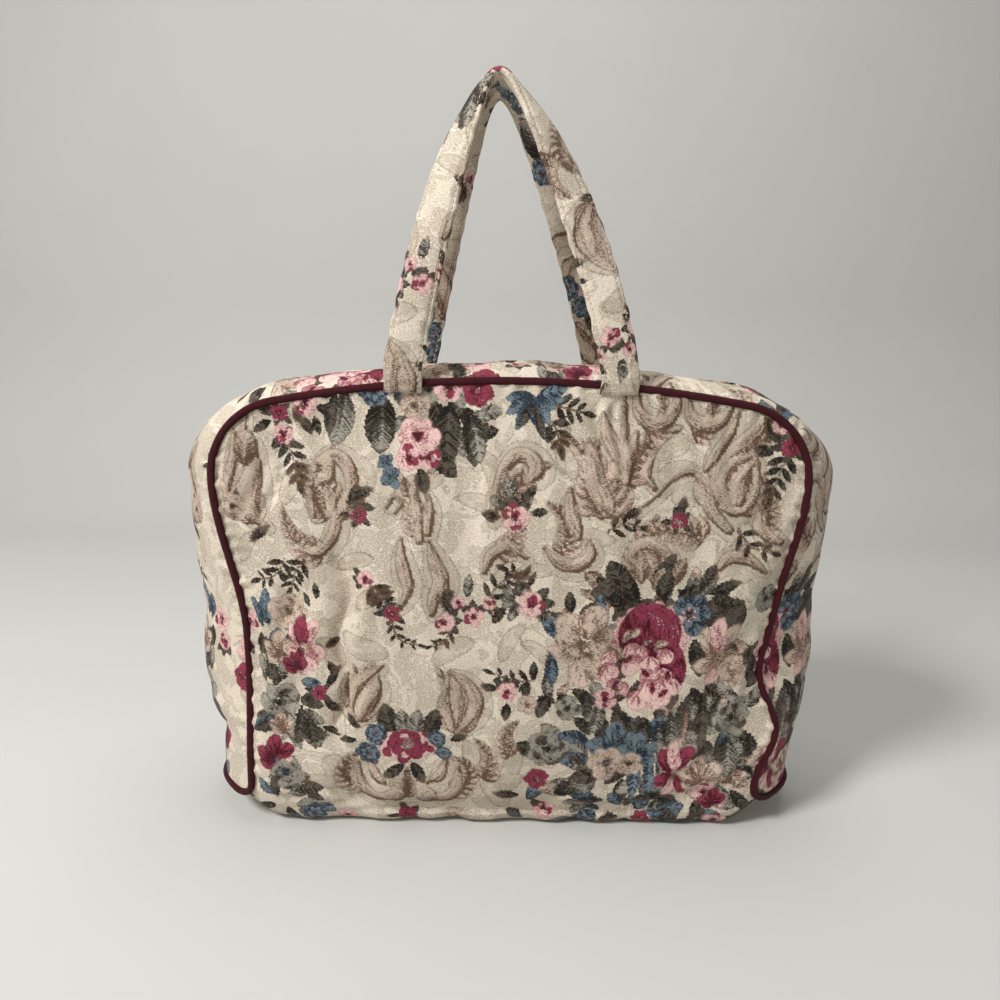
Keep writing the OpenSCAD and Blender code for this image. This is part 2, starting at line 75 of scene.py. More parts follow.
class BagSizes(bpy.types.PropertyGroup):
    """Sizes of the bag: those of its solids, but for the strap ends, which lie in the seam."""

    body_h: length("Body height", "Height of the top seam above the base, at the middle", 279)
    top_w: length("Top width", "Width between the side seams at the top corners", 344)
    low_w: length("Lower width", "Width between the side seams near the base", 318)
    flare_z: length("Flare height", "Height at which the sides start to spread", 125)
    corner_r: length("Corner radius", "Radius of the two top corners", 45)
    arch_r: length("Arch radius", "Radius of the arched top seam", 730)
    base_depth: length("Base depth", "Depth of the bag at its base", 88)
    waist_depth: length("Waist depth", "Depth between the side seams at the waist", 72)
    top_depth: length("Top depth", "Depth between the two top seams", 88)
    waist_z: length("Waist height", "Height at which the side seams come closest", 108)
    crown: length("Crown", "Swell of the front and back beyond the seams", 15)
    fold_r: length("Fold radius", "Radius of the fold between a face and the base", 10)
    side_bulge: length("Side bulge", "Swell of a side gusset at the waist", 41)
    corner_bulge: length("Corner bulge", "Swell of a side gusset at the top corner", 29)
    end_bulge: length("End bulge", "Swell of a side gusset at the base", 30)
    top_rise: length("Top rise", "Swell of the top strips above the top seam", 11)
    zip_dip: length("Zip dip", "How far the zip lies sunk below the strips", 6.5)
    zip_gap: length("Zip gap", "Bare width of zip between the two strips", 22)
    dip_reach: length("Dip reach", "Width of the slope down to the zip", 16)
    end_lift: length("End lift", "How far the ends of the base curve up", 18)
    wave: length("Seam wave", "Sway of the right side seam near the base", 8)
    wave_z: length("Wave height", "Height of the middle of that sway", 67)
    wave_len: length("Wave length", "Length of one sway", 88)
    wave_fade: length("Wave fade", "Height over which the sway dies out", 50)
    crease: length("Crease depth", "Depth of the upright fold in the front", 5)
    crease_x: length("Crease place", "Place of that fold across the front", -98)
    crease_w: length("Crease width", "Half-width of that fold", 13)
    piping_d: length("Piping thickness", "Thickness of the covered cord in the seam", 4.6)
    handle_span: length("Handle span", "Distance between the middles of a handle's ends", 121)
    handle_w: length("Strap width", "Width of a handle strap", 22)
    handle_t: length("Strap thickness", "Thickness of the padded strap", 6.5)
    handle_end_t: length("Strap end thickness", "Thickness of the strap where it is sewn on", 3.2)
    handle_rise: length("Handle rise", "Height of a handle above the top seam", 170)
    handle_tail: length("Handle tail", "Length of a strap end that shows below the top seam", 4.5)
    handle_lean: length("Handle lean", "Sideways lean of the tops of the handles", -8)
    handle_part: length("Handle space", "Space between the two handles at the top", 4)
    tape_w: length("Tape width", "Width of one zip tape", 17)
    tape_t: length("Tape thickness", "Thickness of the zip tape", 0.8)
    chain_slot: length("Chain slot", "Gap between the two rows of the chain", 1.4)
    chain_w: length("Chain width", "Width of one row of the chain", 2.5)
    chain_h: length("Chain height", "Height of the chain above the tape", 1.8)
    chain_pitch: length("Chain pitch", "Distance from one coil of the chain to the next", 2.6)
    chain_reach: length("Chain reach", "Half of the chain's length along the arch", 113.7)
    cloth_t: length("Cloth thickness", "Thickness of the padded cloth", 2)


class BagColours(bpy.types.PropertyGroup):
    """Thread and metal colours."""

    ground: colour("Ground", "Cream ground of the cloth", "E1D4C1")
    # Painted highlight: bright specks that stand in for glints of light off the threads
    painted_glint: colour("Glint", "Bright threads that float on the ground", "F0E5D4")
    ground_shade: colour("Ground shade", "Darker threads of the ground", "A89B86")
    taupe: colour("Scroll", "Lighter threads of the scrolls", "B69D8A")
    taupe_dark: colour("Scroll shade", "Darker threads of the scrolls", "5E4737")
    leaf: colour("Leaf", "Lighter threads of the dark leaves", "61584C")
    leaf_dark: colour("Leaf shade", "Darker threads of the dark leaves", "1E1812")
    grey: colour("Foliage", "Lighter threads of the grey foliage", "A59F92")
    grey_dark: colour("Foliage shade", "Darker threads of the grey foliage", "3A342C")
    pink: colour("Pink", "Lighter threads of the pink flowers", "EAC6BD")
    pink_dark: colour("Pink shade", "Darker threads of the pink flowers", "96565E")
    wine: colour("Wine", "Lighter threads of the wine flowers", "933C50")
    wine_dark: colour("Wine shade", "Darker threads of the wine flowers", "460B1B")
    blue: colour("Blue", "Lighter threads of the blue flowers", "75838C")
    blue_dark: colour("Blue shade", "Darker threads of the blue flowers", "232D36")
    dusk: colour("Beige flower", "Lighter threads of the beige flowers", "D2BCAA")
    dusk_dark: colour("Beige flower shade", "Darker threads of the beige flowers", "6F5344")
    line: colour("Outline", "Threads that outline the figures", "463729")
    piping: colour("Piping", "Cloth over the piping cord", "440512")
    tape: colour("Zip tape", "Zip tape and its chain", "5A1424")
    stitch: colour("Stitching", "Sewing thread", "CFC4AE")
    lining: colour("Lining", "Lining cloth", "CFC6B4")
    brass: colour("Brass", "Zip metal", "B08D4A")
    floor: colour("Floor", "Floor and backdrop", "C9C8C4")


# --- Curves of the bag ---


def mix(a, b, t):
    return a + (b - a) * t


def smooth(t):
    t = np.clip(t, 0.0, 1.0)
    return t * t * (3 - 2 * t)


def bell(t):
    return np.exp(-np.square(t))


def unit(v):
    """Vectors drawn out or in to a length of one."""
    return v / np.linalg.norm(v, axis=-1, keepdims=True)


def across_from(along, v):
    """Unit vectors: what is left of v at right angles to a line's direction."""
    return unit(v - along * np.sum(v * along, 1)[:, None])


def bezier(knots, t):
    """Places at shares t of a curve, from its knots in a plane."""
    n = len(knots) - 1
    weights = [math.comb(n, k) * (1 - t) ** (n - k) * t**k for k in range(n + 1)]
    return [sum(w * knot[i] for w, knot in zip(weights, knots)) for i in (0, 1)]


def ripple(s, seed, short, long, waves=6):
    """Uneven waves along a line, about one unit high."""
    rng = np.random.default_rng(seed)
    total = 0.0
    for _ in range(waves):
        total = total + np.sin(2 * np.pi * s / rng.uniform(short, long) + rng.uniform(0, 2 * np.pi))
    return total / math.sqrt(waves / 2)


def swell(x, z, seed, size, waves=8):
    """Uneven swell over a surface, about one unit high, with humps of about the given size."""
    rng = np.random.default_rng(seed)
    total = 0.0
    for _ in range(waves):
        a, f = rng.uniform(0, 2 * np.pi), 2 * np.pi / (size * rng.uniform(0.8, 1.8))
        total = total + np.sin(f * (x * math.cos(a) + z * math.sin(a)) + rng.uniform(0, 2 * np.pi))
    return total / math.sqrt(waves / 2)


class Shape:
    """The sizes in millimetres, and the curves and surfaces that the cloth follows."""

    lift_from, lift_power = 0.8, 2.5
    top_power, crown_power, edge_power, end_power = 4, 0.85, 3, 8
    crease_from, crease_to, crease_fade = 45, 165, 40
    dip_fade = math.radians(2.2)
    seam_gap, tape_gap, strap_gap = 0.6, 0.25, 0.3
    side_rows, corner_rows = 10, 5
    top_row = side_rows + corner_rows
    fold_cols, base_cols = 3, 4
    end_cols = 2 * fold_cols + base_cols
    leg_lean, leg_reach, top_reach, lift_off = 13, 75, 18, 8
    sewn_share = 0.12

    def __init__(self, sizes):
        for name in BagSizes.__annotations__:
            setattr(self, name, getattr(sizes, name) * 1000)
        self.corner_x = self.top_w / 2 - self.corner_r
        self.arch_z = self.body_h - self.arch_r
        inner = self.arch_r - self.corner_r
        self.corner_z = self.arch_z + math.sqrt(inner**2 - self.corner_x**2)
        self.arch_a = math.asin(self.corner_x / inner)
        self.arch_end_x = self.arch_r * math.sin(self.arch_a)
        self.seam_low = self.end_lift + self.fold_r
        self.strip_a = self.arch_a - math.atan(self.seam_gap / self.arch_r)
        dome = self.top_rise * (1 - (self.zip_gap / self.top_depth) ** self.top_power)
        sunk = self.arch_r + dome - self.zip_dip
        self.tape_r = sunk - self.cloth_t - self.tape_gap - self.tape_t

    def outline(self, inset, corner_n, arch_n):
        """Points along the top seam from the left side to the right side."""
        c = np.linspace(-np.pi / 2, -self.arch_a, corner_n, endpoint=False)
        a = np.linspace(-self.arch_a, self.arch_a, arch_n)
        r, big = self.corner_r - inset, self.arch_r - inset
        cx, cz = -self.corner_x + r * np.sin(c), self.corner_z + r * np.cos(c)
        x = np.concatenate([cx, big * np.sin(a), -cx[::-1]])
        z = np.concatenate([cz, self.arch_z + big * np.cos(a), cz[::-1]])
        return x, z

    def outline_places(self, corner_n, arch_n):
        """Places of those points, counted from 0 to 3 over corner, arch and corner."""
        c = np.linspace(0, 1, corner_n, endpoint=False)
        return np.concatenate([c, 1 + np.linspace(0, 1, arch_n), 3 - c[::-1]])

    def top_height(self, x):
        x = np.abs(x)
        arch = self.arch_z + np.sqrt(np.maximum(0, self.arch_r**2 - x**2))
        corner = self.corner_z + np.sqrt(np.maximum(0, self.corner_r**2 - (x - self.corner_x) ** 2))
        return np.where(x < self.arch_end_x, arch, corner)

    def seam_wave(self, side, z):
        t = z - self.wave_z
        sway = self.wave * np.cos(2 * np.pi * t / self.wave_len) * bell(t / self.wave_fade)
        return np.where(side > 0, sway, 0.0)

    def seam_x(self, side, z):
        spread = smooth((z - self.flare_z) / (self.corner_z - self.flare_z))
        return mix(self.low_w, self.top_w, spread) / 2 + self.seam_wave(side, z)

    def seam_y(self, z):
        below = smooth((z - self.seam_low) / (self.waist_z - self.seam_low))
        above = smooth((z - self.waist_z) / (self.corner_z - self.waist_z))
        low = mix(self.base_depth, self.waist_depth, below)
        return np.where(z < self.waist_z, low, mix(self.waist_depth, self.top_depth, above)) / 2

    def base_lift(self, u):
        share = np.maximum(0, (u - self.lift_from) / (1 - self.lift_from))
        return self.end_lift * share**self.lift_power

    def crease_depth(self, x, z):
        fade = smooth((z - self.crease_from) / self.crease_fade)
        fade = fade * (1 - smooth((z - self.crease_to) / self.crease_fade))
        return self.crease * bell((x - self.crease_x) / self.crease_w) * fade

    def panel_depth(self, x, z, low):
        u = np.minimum(1, np.abs(x) / self.seam_x(np.sign(x), z))
        v = np.clip((z - low) / np.maximum(1e-6, self.top_height(x) - low), 0, 1)
        swollen = self.crown * np.sin(np.pi * v**self.crown_power)
        middle = mix(self.base_depth, self.top_depth, v) / 2 + swollen
        return mix(middle, self.seam_y(z), u**self.edge_power)

    def face(self, tx, tz, v, inset, front):
        """Rows of a face at shares v of its height, for columns that end at tx, tz."""
        half = self.top_w / 2 - inset
        u = np.abs(tx) / half
        low = self.base_lift(u) + self.fold_r
        z = mix(low[None], tz[None], v[:, None])
        side = np.where(tx < 0, -1, 1)[None]
        x = tx[None] / half * (self.seam_x(side, z) - inset)
        y = self.panel_depth(x, z, np.broadcast_to(low[None], z.shape))
        return np.stack([x, self.crease_depth(x, z) - y if front else y, z], -1)

    def under(self, tx, tz, share, rise, inset):
        """One row of the base or its folds, by share of the base's depth and angle of the fold."""
        half = self.top_w / 2 - inset
        u = np.abs(tx) / half
        low = self.face(tx, tz, np.zeros(1), inset, True)[0]
        flat = -low[:, 1] - self.fold_r
        y = share * (flat + self.fold_r * math.cos(rise))
        h = self.fold_r * (1 - math.sin(rise))
        s = y / low[:, 1]
        slant = 2 * self.end_bulge * s / low[:, 1] * (1 - h / self.fold_r)
        belly = self.end_bulge * (1 - s * s) - inset * (np.sqrt(1 + slant**2) - 1)
        x = low[:, 0] + np.sign(low[:, 0]) * belly * u**self.end_power
        return np.stack([x, y, self.base_lift(u) + h], -1)

    def wrap(self, tx, tz, inset, face_n, fold_n, base_n, back_n):
        """Rows of a cloth down the front, under the base and up the back, in five parts."""
        fold = np.linspace(0, np.pi / 2, fold_n)[1:]
        rise = np.linspace(np.pi / 2, 0, fold_n)[1:-1]
        return (
            self.face(tx, tz, np.linspace(1, 0, face_n), inset, True),
            [self.under(tx, tz, -1, a, inset) for a in fold],
            [self.under(tx, tz, y, np.pi / 2, inset) for y in np.linspace(-1, 1, base_n)[1:]],
            [self.under(tx, tz, 1, a, inset) for a in rise],
            self.face(tx, tz, np.linspace(0, 1, back_n), inset, False),
        )

    def gusset_row(self, side, r, end_a):
        """Seam point, outward direction, half-depth, belly and sharpness of a gusset's row r."""
        if r <= self.side_rows:
            z = mix(self.seam_low, self.corner_z, r / self.side_rows)
            if z < self.waist_z:
                t = smooth((z - self.seam_low) / (self.waist_z - self.seam_low))
                belly = mix(self.end_bulge, self.side_bulge, t)
            else:
                t = smooth((z - self.waist_z) / (self.corner_z - self.waist_z))
                belly = mix(self.side_bulge, self.corner_bulge, t)
            x = side * float(self.seam_x(side, z))
            belly -= float(self.seam_wave(side, z))
            return x, z, side, 0.0, float(self.seam_y(z)), belly, 2.0
        t = (r - self.side_rows) / self.corner_rows
        a = mix(np.pi / 2, end_a, t)
        belly = mix(self.corner_bulge, self.top_rise, float(smooth(1.3 * t)))
        x = self.corner_x + self.corner_r * math.sin(a)
        z = self.corner_z + self.corner_r * math.cos(a)
        power = mix(2.0, self.top_power, t)
        return side * x, z, side * math.sin(a), math.cos(a), self.top_depth / 2, belly, power

    def gusset_places(self, side_n, corner_n):
        """Places of a gusset's rows, up the side and round the corner."""
        corner = np.linspace(self.side_rows, self.top_row, corner_n)
        return np.concatenate([np.linspace(0, self.side_rows, side_n), corner[1:]])

    def end_station(self, c, inset):
        """Depths and heights round the rounded lower end of a gusset."""
        r, flat = self.fold_r - inset, self.base_depth / 2 - self.fold_r
        k = np.minimum(c, self.end_cols - c)
        a = np.pi / 2 * np.minimum(1, k / self.fold_cols)
        side = np.where(c < self.end_cols / 2, -1, 1)
        run = mix(-flat, flat, (c - self.fold_cols) / self.base_cols)
        y = np.where(k <= self.fold_cols, side * (flat + r * np.cos(a)), run)
        return y, np.where(k <= self.fold_cols, self.fold_r - r * np.sin(a), inset)

    def gusset(self, side, rows, cols, inset, end_a):
        """Grid of a side gusset from its lower end up to the zip strips."""
        c = np.linspace(0, self.end_cols, cols)
        ey, eh = self.end_station(c, inset)
        even = mix(-1, 1, np.linspace(0, 1, cols))
        grid = []
        for r in rows:
            x, z, ox, oz, half, belly, power = self.gusset_row(side, r, end_a)
            ease = min(1, r / 3)
            edge = inset / math.hypot(half, belly * power)
            s = mix(ey / (self.base_depth / 2), even * (1 - edge), ease)
            b = belly * (1 - np.abs(s) ** power)
            height = z + oz * b + (eh - self.fold_r) * (1 - ease) ** 2
            grid.append(np.stack([x + ox * b, half * s, height], -1))
        return np.array(grid)

    def strip_radius(self, y, a):
        dip = 1 - smooth((np.abs(y) - self.zip_gap / 2) / self.dip_reach)
        dip = self.zip_dip * dip * smooth((self.strip_a - np.abs(a)) / self.dip_fade)
        share = np.abs(y) / (self.top_depth / 2)
        return self.arch_r + self.top_rise * (1 - share**self.top_power) - dip

    def on_arch(self, r, a, y):
        return np.stack([r * np.sin(a), y + 0 * a, self.arch_z + r * np.cos(a)], -1)

    def seam_loop(self):
        """The piped seam as a closed loop of points and outward directions."""
        left, right = [], []
        for side, out in ((-1, left), (1, right)):
            for r in self.gusset_places(140, 46):
                x, z, ox, oz, half, _, _ = self.gusset_row(side, r, self.arch_a)
                out.append(((x, -half, z), (ox, 0, oz)))
        arch = []
        for a in np.linspace(-self.arch_a, self.arch_a, 200)[1:-1]:
            ox, oz = math.sin(a), math.cos(a)
            p = (self.arch_r * ox, -self.top_depth / 2, self.arch_z + self.arch_r * oz)
            arch.append((p, (ox, 0, oz)))
        front = left + arch + right[::-1]
        ends = {}
        for side in (-1, 1):
            c = np.linspace(0, self.end_cols, 90)[1:-1]
            y, h = self.end_station(c, 0.0)
            x, _, ox, _, half, belly, power = self.gusset_row(side, 0, self.arch_a)
            s = y / (self.base_depth / 2)
            b = belly * (1 - np.abs(s) ** power)
            places = np.stack([x + ox * b, half * s, self.end_lift + h], -1)
            ends[side] = [(tuple(p), (side, 0, 0)) for p in places]
        back = [((p[0], -p[1], p[2]), d) for p, d in front[::-1]]
        loop = front + ends[1] + back + ends[-1][::-1]
        return np.array([p for p, _ in loop], float), np.array([d for _, d in loop], float)

    def strap(self, count):
        """Middle line of the front handle, its width and thickness directions and thickness."""
        hx, seam = self.handle_span / 2, float(self.top_height(self.handle_span / 2))
        tail_z = seam - self.handle_tail
        depth = float(self.panel_depth(np.float64(hx), np.float64(tail_z), np.float64(self.fold_r)))
        tail_y = depth + self.handle_end_t / 2 + self.strap_gap
        over_y = self.top_depth / 2 + self.piping_d / 2 + self.handle_end_t / 2 + self.strap_gap
        top_y = self.handle_w / 2 + self.handle_part / 2
        k = np.linspace(0, 1, count)
        t = np.clip((k - self.sewn_share) / (1 - self.sewn_share), 0, 1)
        peak = self.handle_rise - self.handle_t / 2
        knee = (hx - self.leg_lean, self.leg_reach)
        knots = ((hx, self.lift_off), knee, (self.top_reach, peak), (0, peak))
        px, pz = bezier(knots, t)
        qx, qz = bezier([(q[0] - p[0], q[1] - p[1]) for p, q in zip(knots, knots[1:])], t)
        size = np.hypot(qx, qz)
        qx, qz = qx / size, qz / size
        turn = (np.pi / 2 * smooth(0.5 * t + 0.5 * t * t))[:, None]
        leg = [px, -mix(over_y, top_y, smooth(t)), mix(seam, self.body_h, smooth(t)) + pz]
        leg = np.stack(leg, -1)
        wide = np.cos(turn) * np.stack([qz, 0 * qz, -qx], -1) + np.sin(turn) * np.array([0, 1.0, 0])
        # The sewn end: up from the tail, over the piping and on into the leg
        sewn, s = k < self.sewn_share, np.clip(k / self.sewn_share, 0, 1)
        over = np.minimum(1, smooth(s) * 1.6)
        leg[:, 2] = np.where(sewn, mix(tail_z, seam + self.lift_off, s), leg[:, 2])
        leg[:, 1] = np.where(sewn, -mix(tail_y, over_y, over), leg[:, 1])
        ease = smooth((k - self.sewn_share / 2) / 0.1)
        wide = unit(mix(np.array([1.0, 0, 0]), wide, ease[:, None]))
        wide = across_from(unit(np.gradient(leg, axis=0)), wide)
        size = mix(self.handle_end_t, self.handle_t, smooth(t * 5))
        lean = np.stack([self.handle_lean * smooth(t), 0 * t, 0 * t], -1)
        flip = np.array([-1.0, 1, 1])
        mid = np.concatenate([leg * flip + lean, (leg + lean)[-2::-1]])
        wide = np.concatenate([wide * flip, wide[-2::-1]])
        size = np.concatenate([size, size[-2::-1]])
        thick = unit(np.cross(unit(np.gradient(mid, axis=0)), wide))
        return mid, wide, thick, size


# --- Figures woven into the cloth ---

THREADS = ("taupe", "leaf", "grey", "pink", "wine", "blue", "dusk", "line")
REPEAT_W, REPEAT_H = 344.0, 292.0
LAP = 0.6


class Weave:
    """Signed distances in millimetres to the figures of each thread colour, at a cloth's points.

    The tone of each point runs from dark to light threads, and its grain holds places along and
    across the figure that it lies in, for streaks that follow the figure.
    """

    def __init__(self, u, v):
        self.u, self.v = u.ravel(), v.ravel()
        self.far = np.full((len(THREADS), self.u.size), 9.0)
        self.tone = np.full(self.u.size, 0.5)
        self.grain = np.zeros((self.u.size, 3))
        self.count = 0

    def near(self, x, z, reach):
        """Points within reach of a place, with their offsets from it. The pattern repeats."""
        dx = np.mod(self.u - x + REPEAT_W / 2, REPEAT_W) - REPEAT_W / 2
        at = np.nonzero(np.abs(dx) < reach)[0]
        dz = np.mod(self.v[at] - z + REPEAT_H / 2, REPEAT_H) - REPEAT_H / 2
        close = np.abs(dz) < reach
        return at[close], dx[at[close]], dz[close]

    def lay(self, thread, at, gap, tone, along, across):
        """Weaves a figure over those that lie there already, which go on under its edge."""
        row = THREADS.index(thread)
        self.far[:, at] = np.maximum(self.far[:, at], -gap - LAP)
        self.far[row, at] = np.minimum(self.far[row, at], gap)
        self.far[row, at] = np.where(gap < 0, gap, self.far[row, at])
        inside = gap < 0.9
        self.count += 1
        self.tone[at[inside]] = np.broadcast_to(tone, gap.shape)[inside]
        mark = np.full(gap.shape, 7.3 * self.count)
        self.grain[at[inside]] = np.stack([along, across, mark], -1)[inside]

    def petal(self, thread, x, z, long, wide, angle, tones, bend=0.0):
        """A round petal from its foot at x, z; angle is in degrees from the cloth's width."""
        at, p, q = self.turned(x, z, long, wide, angle)
        a, b = long / 2, wide / 2
        q = q - bend * (1 - np.square(np.clip(p / a, -1.5, 1.5)))
        gap = (np.hypot(p / a, q / b) - 1) * min(a, b)
        ray = np.arctan2(q, p + a * 1.15) * long * 0.55
        self.lay(thread, at, gap, mix(tones[0], tones[1], np.clip((p + a) / long, 0, 1)), p, ray)

    def leaf(self, thread, x, z, long, wide, angle, tones, bend=0.0, teeth=0.0):
        """A pointed leaf from its foot, with a pale rib and veins."""
        at, p, q = self.turned(x, z, long, wide, angle)
        a, b = long / 2, min(wide / 2, long * 0.48)
        q = q - bend * (1 - np.square(np.clip(p / a, -1.5, 1.5)))
        r = (a * a + b * b) / (2 * b)
        gap = np.hypot(p, np.abs(q) + r - b) - r
        if teeth:
            gap = gap + teeth * np.sin(2 * np.pi * (p + np.abs(q) * 0.8) / (3.5 * teeth + 1.4))
        tone = mix(tones[0], tones[1], np.clip((p + a) / long, 0, 1)) + 0.12 * np.sign(q)
        tone = tone + 0.5 * bell(q / 0.8) * (np.abs(p) < a * 0.85) * min(1, wide / 9)
        self.lay(thread, at, gap, tone, np.abs(q) * 0.4, p - np.abs(q) * 0.9)

    def turned(self, x, z, long, wide, angle):
        at, dx, dz = self.near(x, z, long * 1.25 + wide)
        c, s = math.cos(math.radians(angle)), math.sin(math.radians(angle))
        return at, dx * c + dz * s - long / 2, dz * c - dx * s

    def stroke(self, thread, path, tones=(0.0, 1.4)):
        """A scroll drawn through points given as x, z and half-width."""
        path = np.array(path, float)
        ends = np.vstack([2 * path[0] - path[1], path, 2 * path[-1] - path[-2]])
        pts = []
        for i in range(1, len(ends) - 2):
            a, b, c, d = ends[i - 1 : i + 3]
            for t in np.linspace(0, 1, 9, endpoint=False):
                cubic = (3 * b - a - 3 * c + d) * t**3
                pts.append(0.5 * (2 * b + (c - a) * t + (2 * a - 5 * b + 4 * c - d) * t**2 + cubic))
        pts = np.array(pts + [path[-1]])
        mid = (pts[:, :2].min(0) + pts[:, :2].max(0)) / 2
        reach = np.max(np.abs(pts[:, :2] - mid)) + pts[:, 2].max() + 3
        at, dx, dz = self.near(mid[0], mid[1], reach)
        gap = np.full(at.size, 99.0)
        side, run, lit = np.zeros((3, at.size))
        step = np.gradient(pts[:, :2], axis=0)
        for k, ((x, z, r), (sx, sz)) in enumerate(zip(pts, step)):
            ex, ez = dx - (x - mid[0]), dz - (z - mid[1])
            here = np.hypot(ex, ez) - max(r, 0.6)
            closer = here < gap
            gap = np.where(closer, here, gap)
            size = math.hypot(sx, sz) + 1e-9
            side = np.where(closer, (ex * sz - ez * sx) / size, side)
            run = np.where(closer, k * 0.8, run)
            lit = np.where(closer, (0.8 * ez - 0.6 * ex) / max(r, 0.6), lit)
        tone = mix(tones[0], tones[1], np.clip(0.5 + 0.5 * lit, 0, 1))
        self.lay(thread, at, gap, tone, run, side)

    def ball(self, thread, x, z, r, tones):
        self.petal(thread, x - r, z, 2 * r, 2 * r, 0, tones)

    def rose(self, thread, x, z, r, seed, heart, tones=(0.0, 1.05), tall=1.0):
        """A round flower of rings of petals, each ring over the one outside it."""
        rng = np.random.default_rng(seed)
        for share, n in ((1.0, 9), (0.78, 7), (0.54, 5), (0.32, 3)):
            turn = rng.uniform(0, 360)
            for k in range(n):
                here = heart if share < 0.4 or rng.random() < 0.16 else thread
                a = turn + 360 * k / n + rng.uniform(-16, 16)
                foot = share * r * 0.3
                cx, cz = math.cos(math.radians(a)), math.sin(math.radians(a))
                long = share * r * rng.uniform(0.62, 0.78) * math.hypot(cx, tall * cz)
                wide = share * r * rng.uniform(0.55, 0.85)
                lean = a + rng.uniform(-22, 22)
                self.petal(here, x + foot * cx, z + tall * foot * cz, long, wide, lean, tones)
        self.ball(heart, x, z, r * 0.14, (0.0, 0.3))

    def bluebell(self, x, z, r, seed):
        """A flat blue flower of six petals with a pale star and a dark heart."""
        rng = np.random.default_rng(seed)
        turn = rng.uniform(0, 60)
        for k in range(6):
            a = turn + 60 * k + rng.uniform(-9, 9)
            self.petal("blue", x, z, r * rng.uniform(0.9, 1.1), r * 0.92, a, (-0.2, 0.6))
        for k in range(6):
            self.leaf("pink", x, z, r * 0.5, r * 0.24, turn + 60 * k + 30, (1.0, 1.3))
        self.ball("leaf", x, z, r * 0.22, (0.2, 0.4))

    def bud(self, x, z, r, angle, seed):
        """A rosebud with dark sepals."""
        for turn in (140, 185, 225):
            self.leaf("leaf", x, z, r * 1.8, r * 0.8, angle + turn, (0.1, 0.5))
        self.rose("pink", x, z, r, seed, "wine", (0.2, 1.0))

    def sprig(self, path, pairs, size):
        """A thin stem with pairs of leaves that grow smaller along it."""
        path = np.array(path, float)
        self.stroke("line", np.column_stack([path, np.full(len(path), 0.6)]), (0.0, 0.2))
        run = np.concatenate([[0], np.cumsum(np.hypot(*np.diff(path, axis=0).T))])
        for k in range(pairs):
            d = run[-1] * (k + 0.4) / pairs
            x, z = np.interp(d, run, path[:, 0]), np.interp(d, run, path[:, 1])
            i = min(len(path) - 2, int(np.searchsorted(run, d, side="right")) - 1)
            ahead = math.degrees(math.atan2(*(path[i + 1] - path[i])[::-1]))
            grow = size * mix(1.0, 0.7, k / max(1, pairs - 1))
            for turn in (52, -52):
                self.leaf("leaf", x, z, grow * 1.1, grow * 0.36, ahead + turn, (0.0, 0.5))
        ahead = math.degrees(math.atan2(*(path[-1] - path[-2])[::-1]))
        self.leaf("leaf", *path[-1], size * 0.9, size * 0.32, ahead, (0.0, 0.5))

    def fan(self, thread, x, z, long, wide, first, last, count, tones):
        """Leaves that spread from one foot."""
        for k in range(count):
            a = mix(first, last, k / max(1, count - 1))
            self.leaf(thread, x, z, long * (0.84 + 0.16 * ((k * 7) % 3)), wide, a, tones)

    def bower(self, x, z, rx, rz, count, size, threads, seed):
        """Leaves that fill a round patch and point out of it, the outer ones first."""
        rng = np.random.default_rng(seed)
        for k in range(count):
            d, a = math.sqrt(1 - (k + 0.5) / count), rng.uniform(0, 2 * math.pi)
            px, pz = x + rx * d * math.cos(a), z + rz * d * math.sin(a)
            turn = math.degrees(math.atan2(rz * math.sin(a), rx * math.cos(a)))
            turn += rng.uniform(-55, 55)
            long = size * rng.uniform(0.7, 1.25)
            thread = threads[int(rng.integers(len(threads)))]
            shade = rng.uniform(-0.25, 0.3)
            self.leaf(
                thread, px, pz, long, long * rng.uniform(0.4, 0.6), turn,
                (0.1 + shade, 0.6 + shade), rng.uniform(-1.5, 1.5), rng.uniform(0.2, 0.6),
            )

    def acanthus(self, x, z, long, angle, curl):
        """A curling leaf of overlapping lobes that shrink towards its tip."""
        lobes, heading, px, pz = 8, math.radians(angle), x, z
        for k in range(lobes):
            size = long * mix(0.42, 0.2, k / (lobes - 1))
            for turn in (46, -46):
                thread = "dusk" if (k + (turn > 0)) % 3 == 0 else "taupe"
                lobe = math.degrees(heading) + turn * mix(1.0, 0.5, k / (lobes - 1))
                bend = size * 0.06 * math.copysign(1, turn)
                self.leaf(thread, px, pz, size, size * 0.46, lobe, (0.0, 1.15), bend)
            px, pz = px + long / lobes * math.cos(heading), pz + long / lobes * math.sin(heading)
            heading += math.radians(curl) / lobes
        self.leaf("taupe", px, pz, long * 0.22, long * 0.1, math.degrees(heading), (0.0, 0.9))

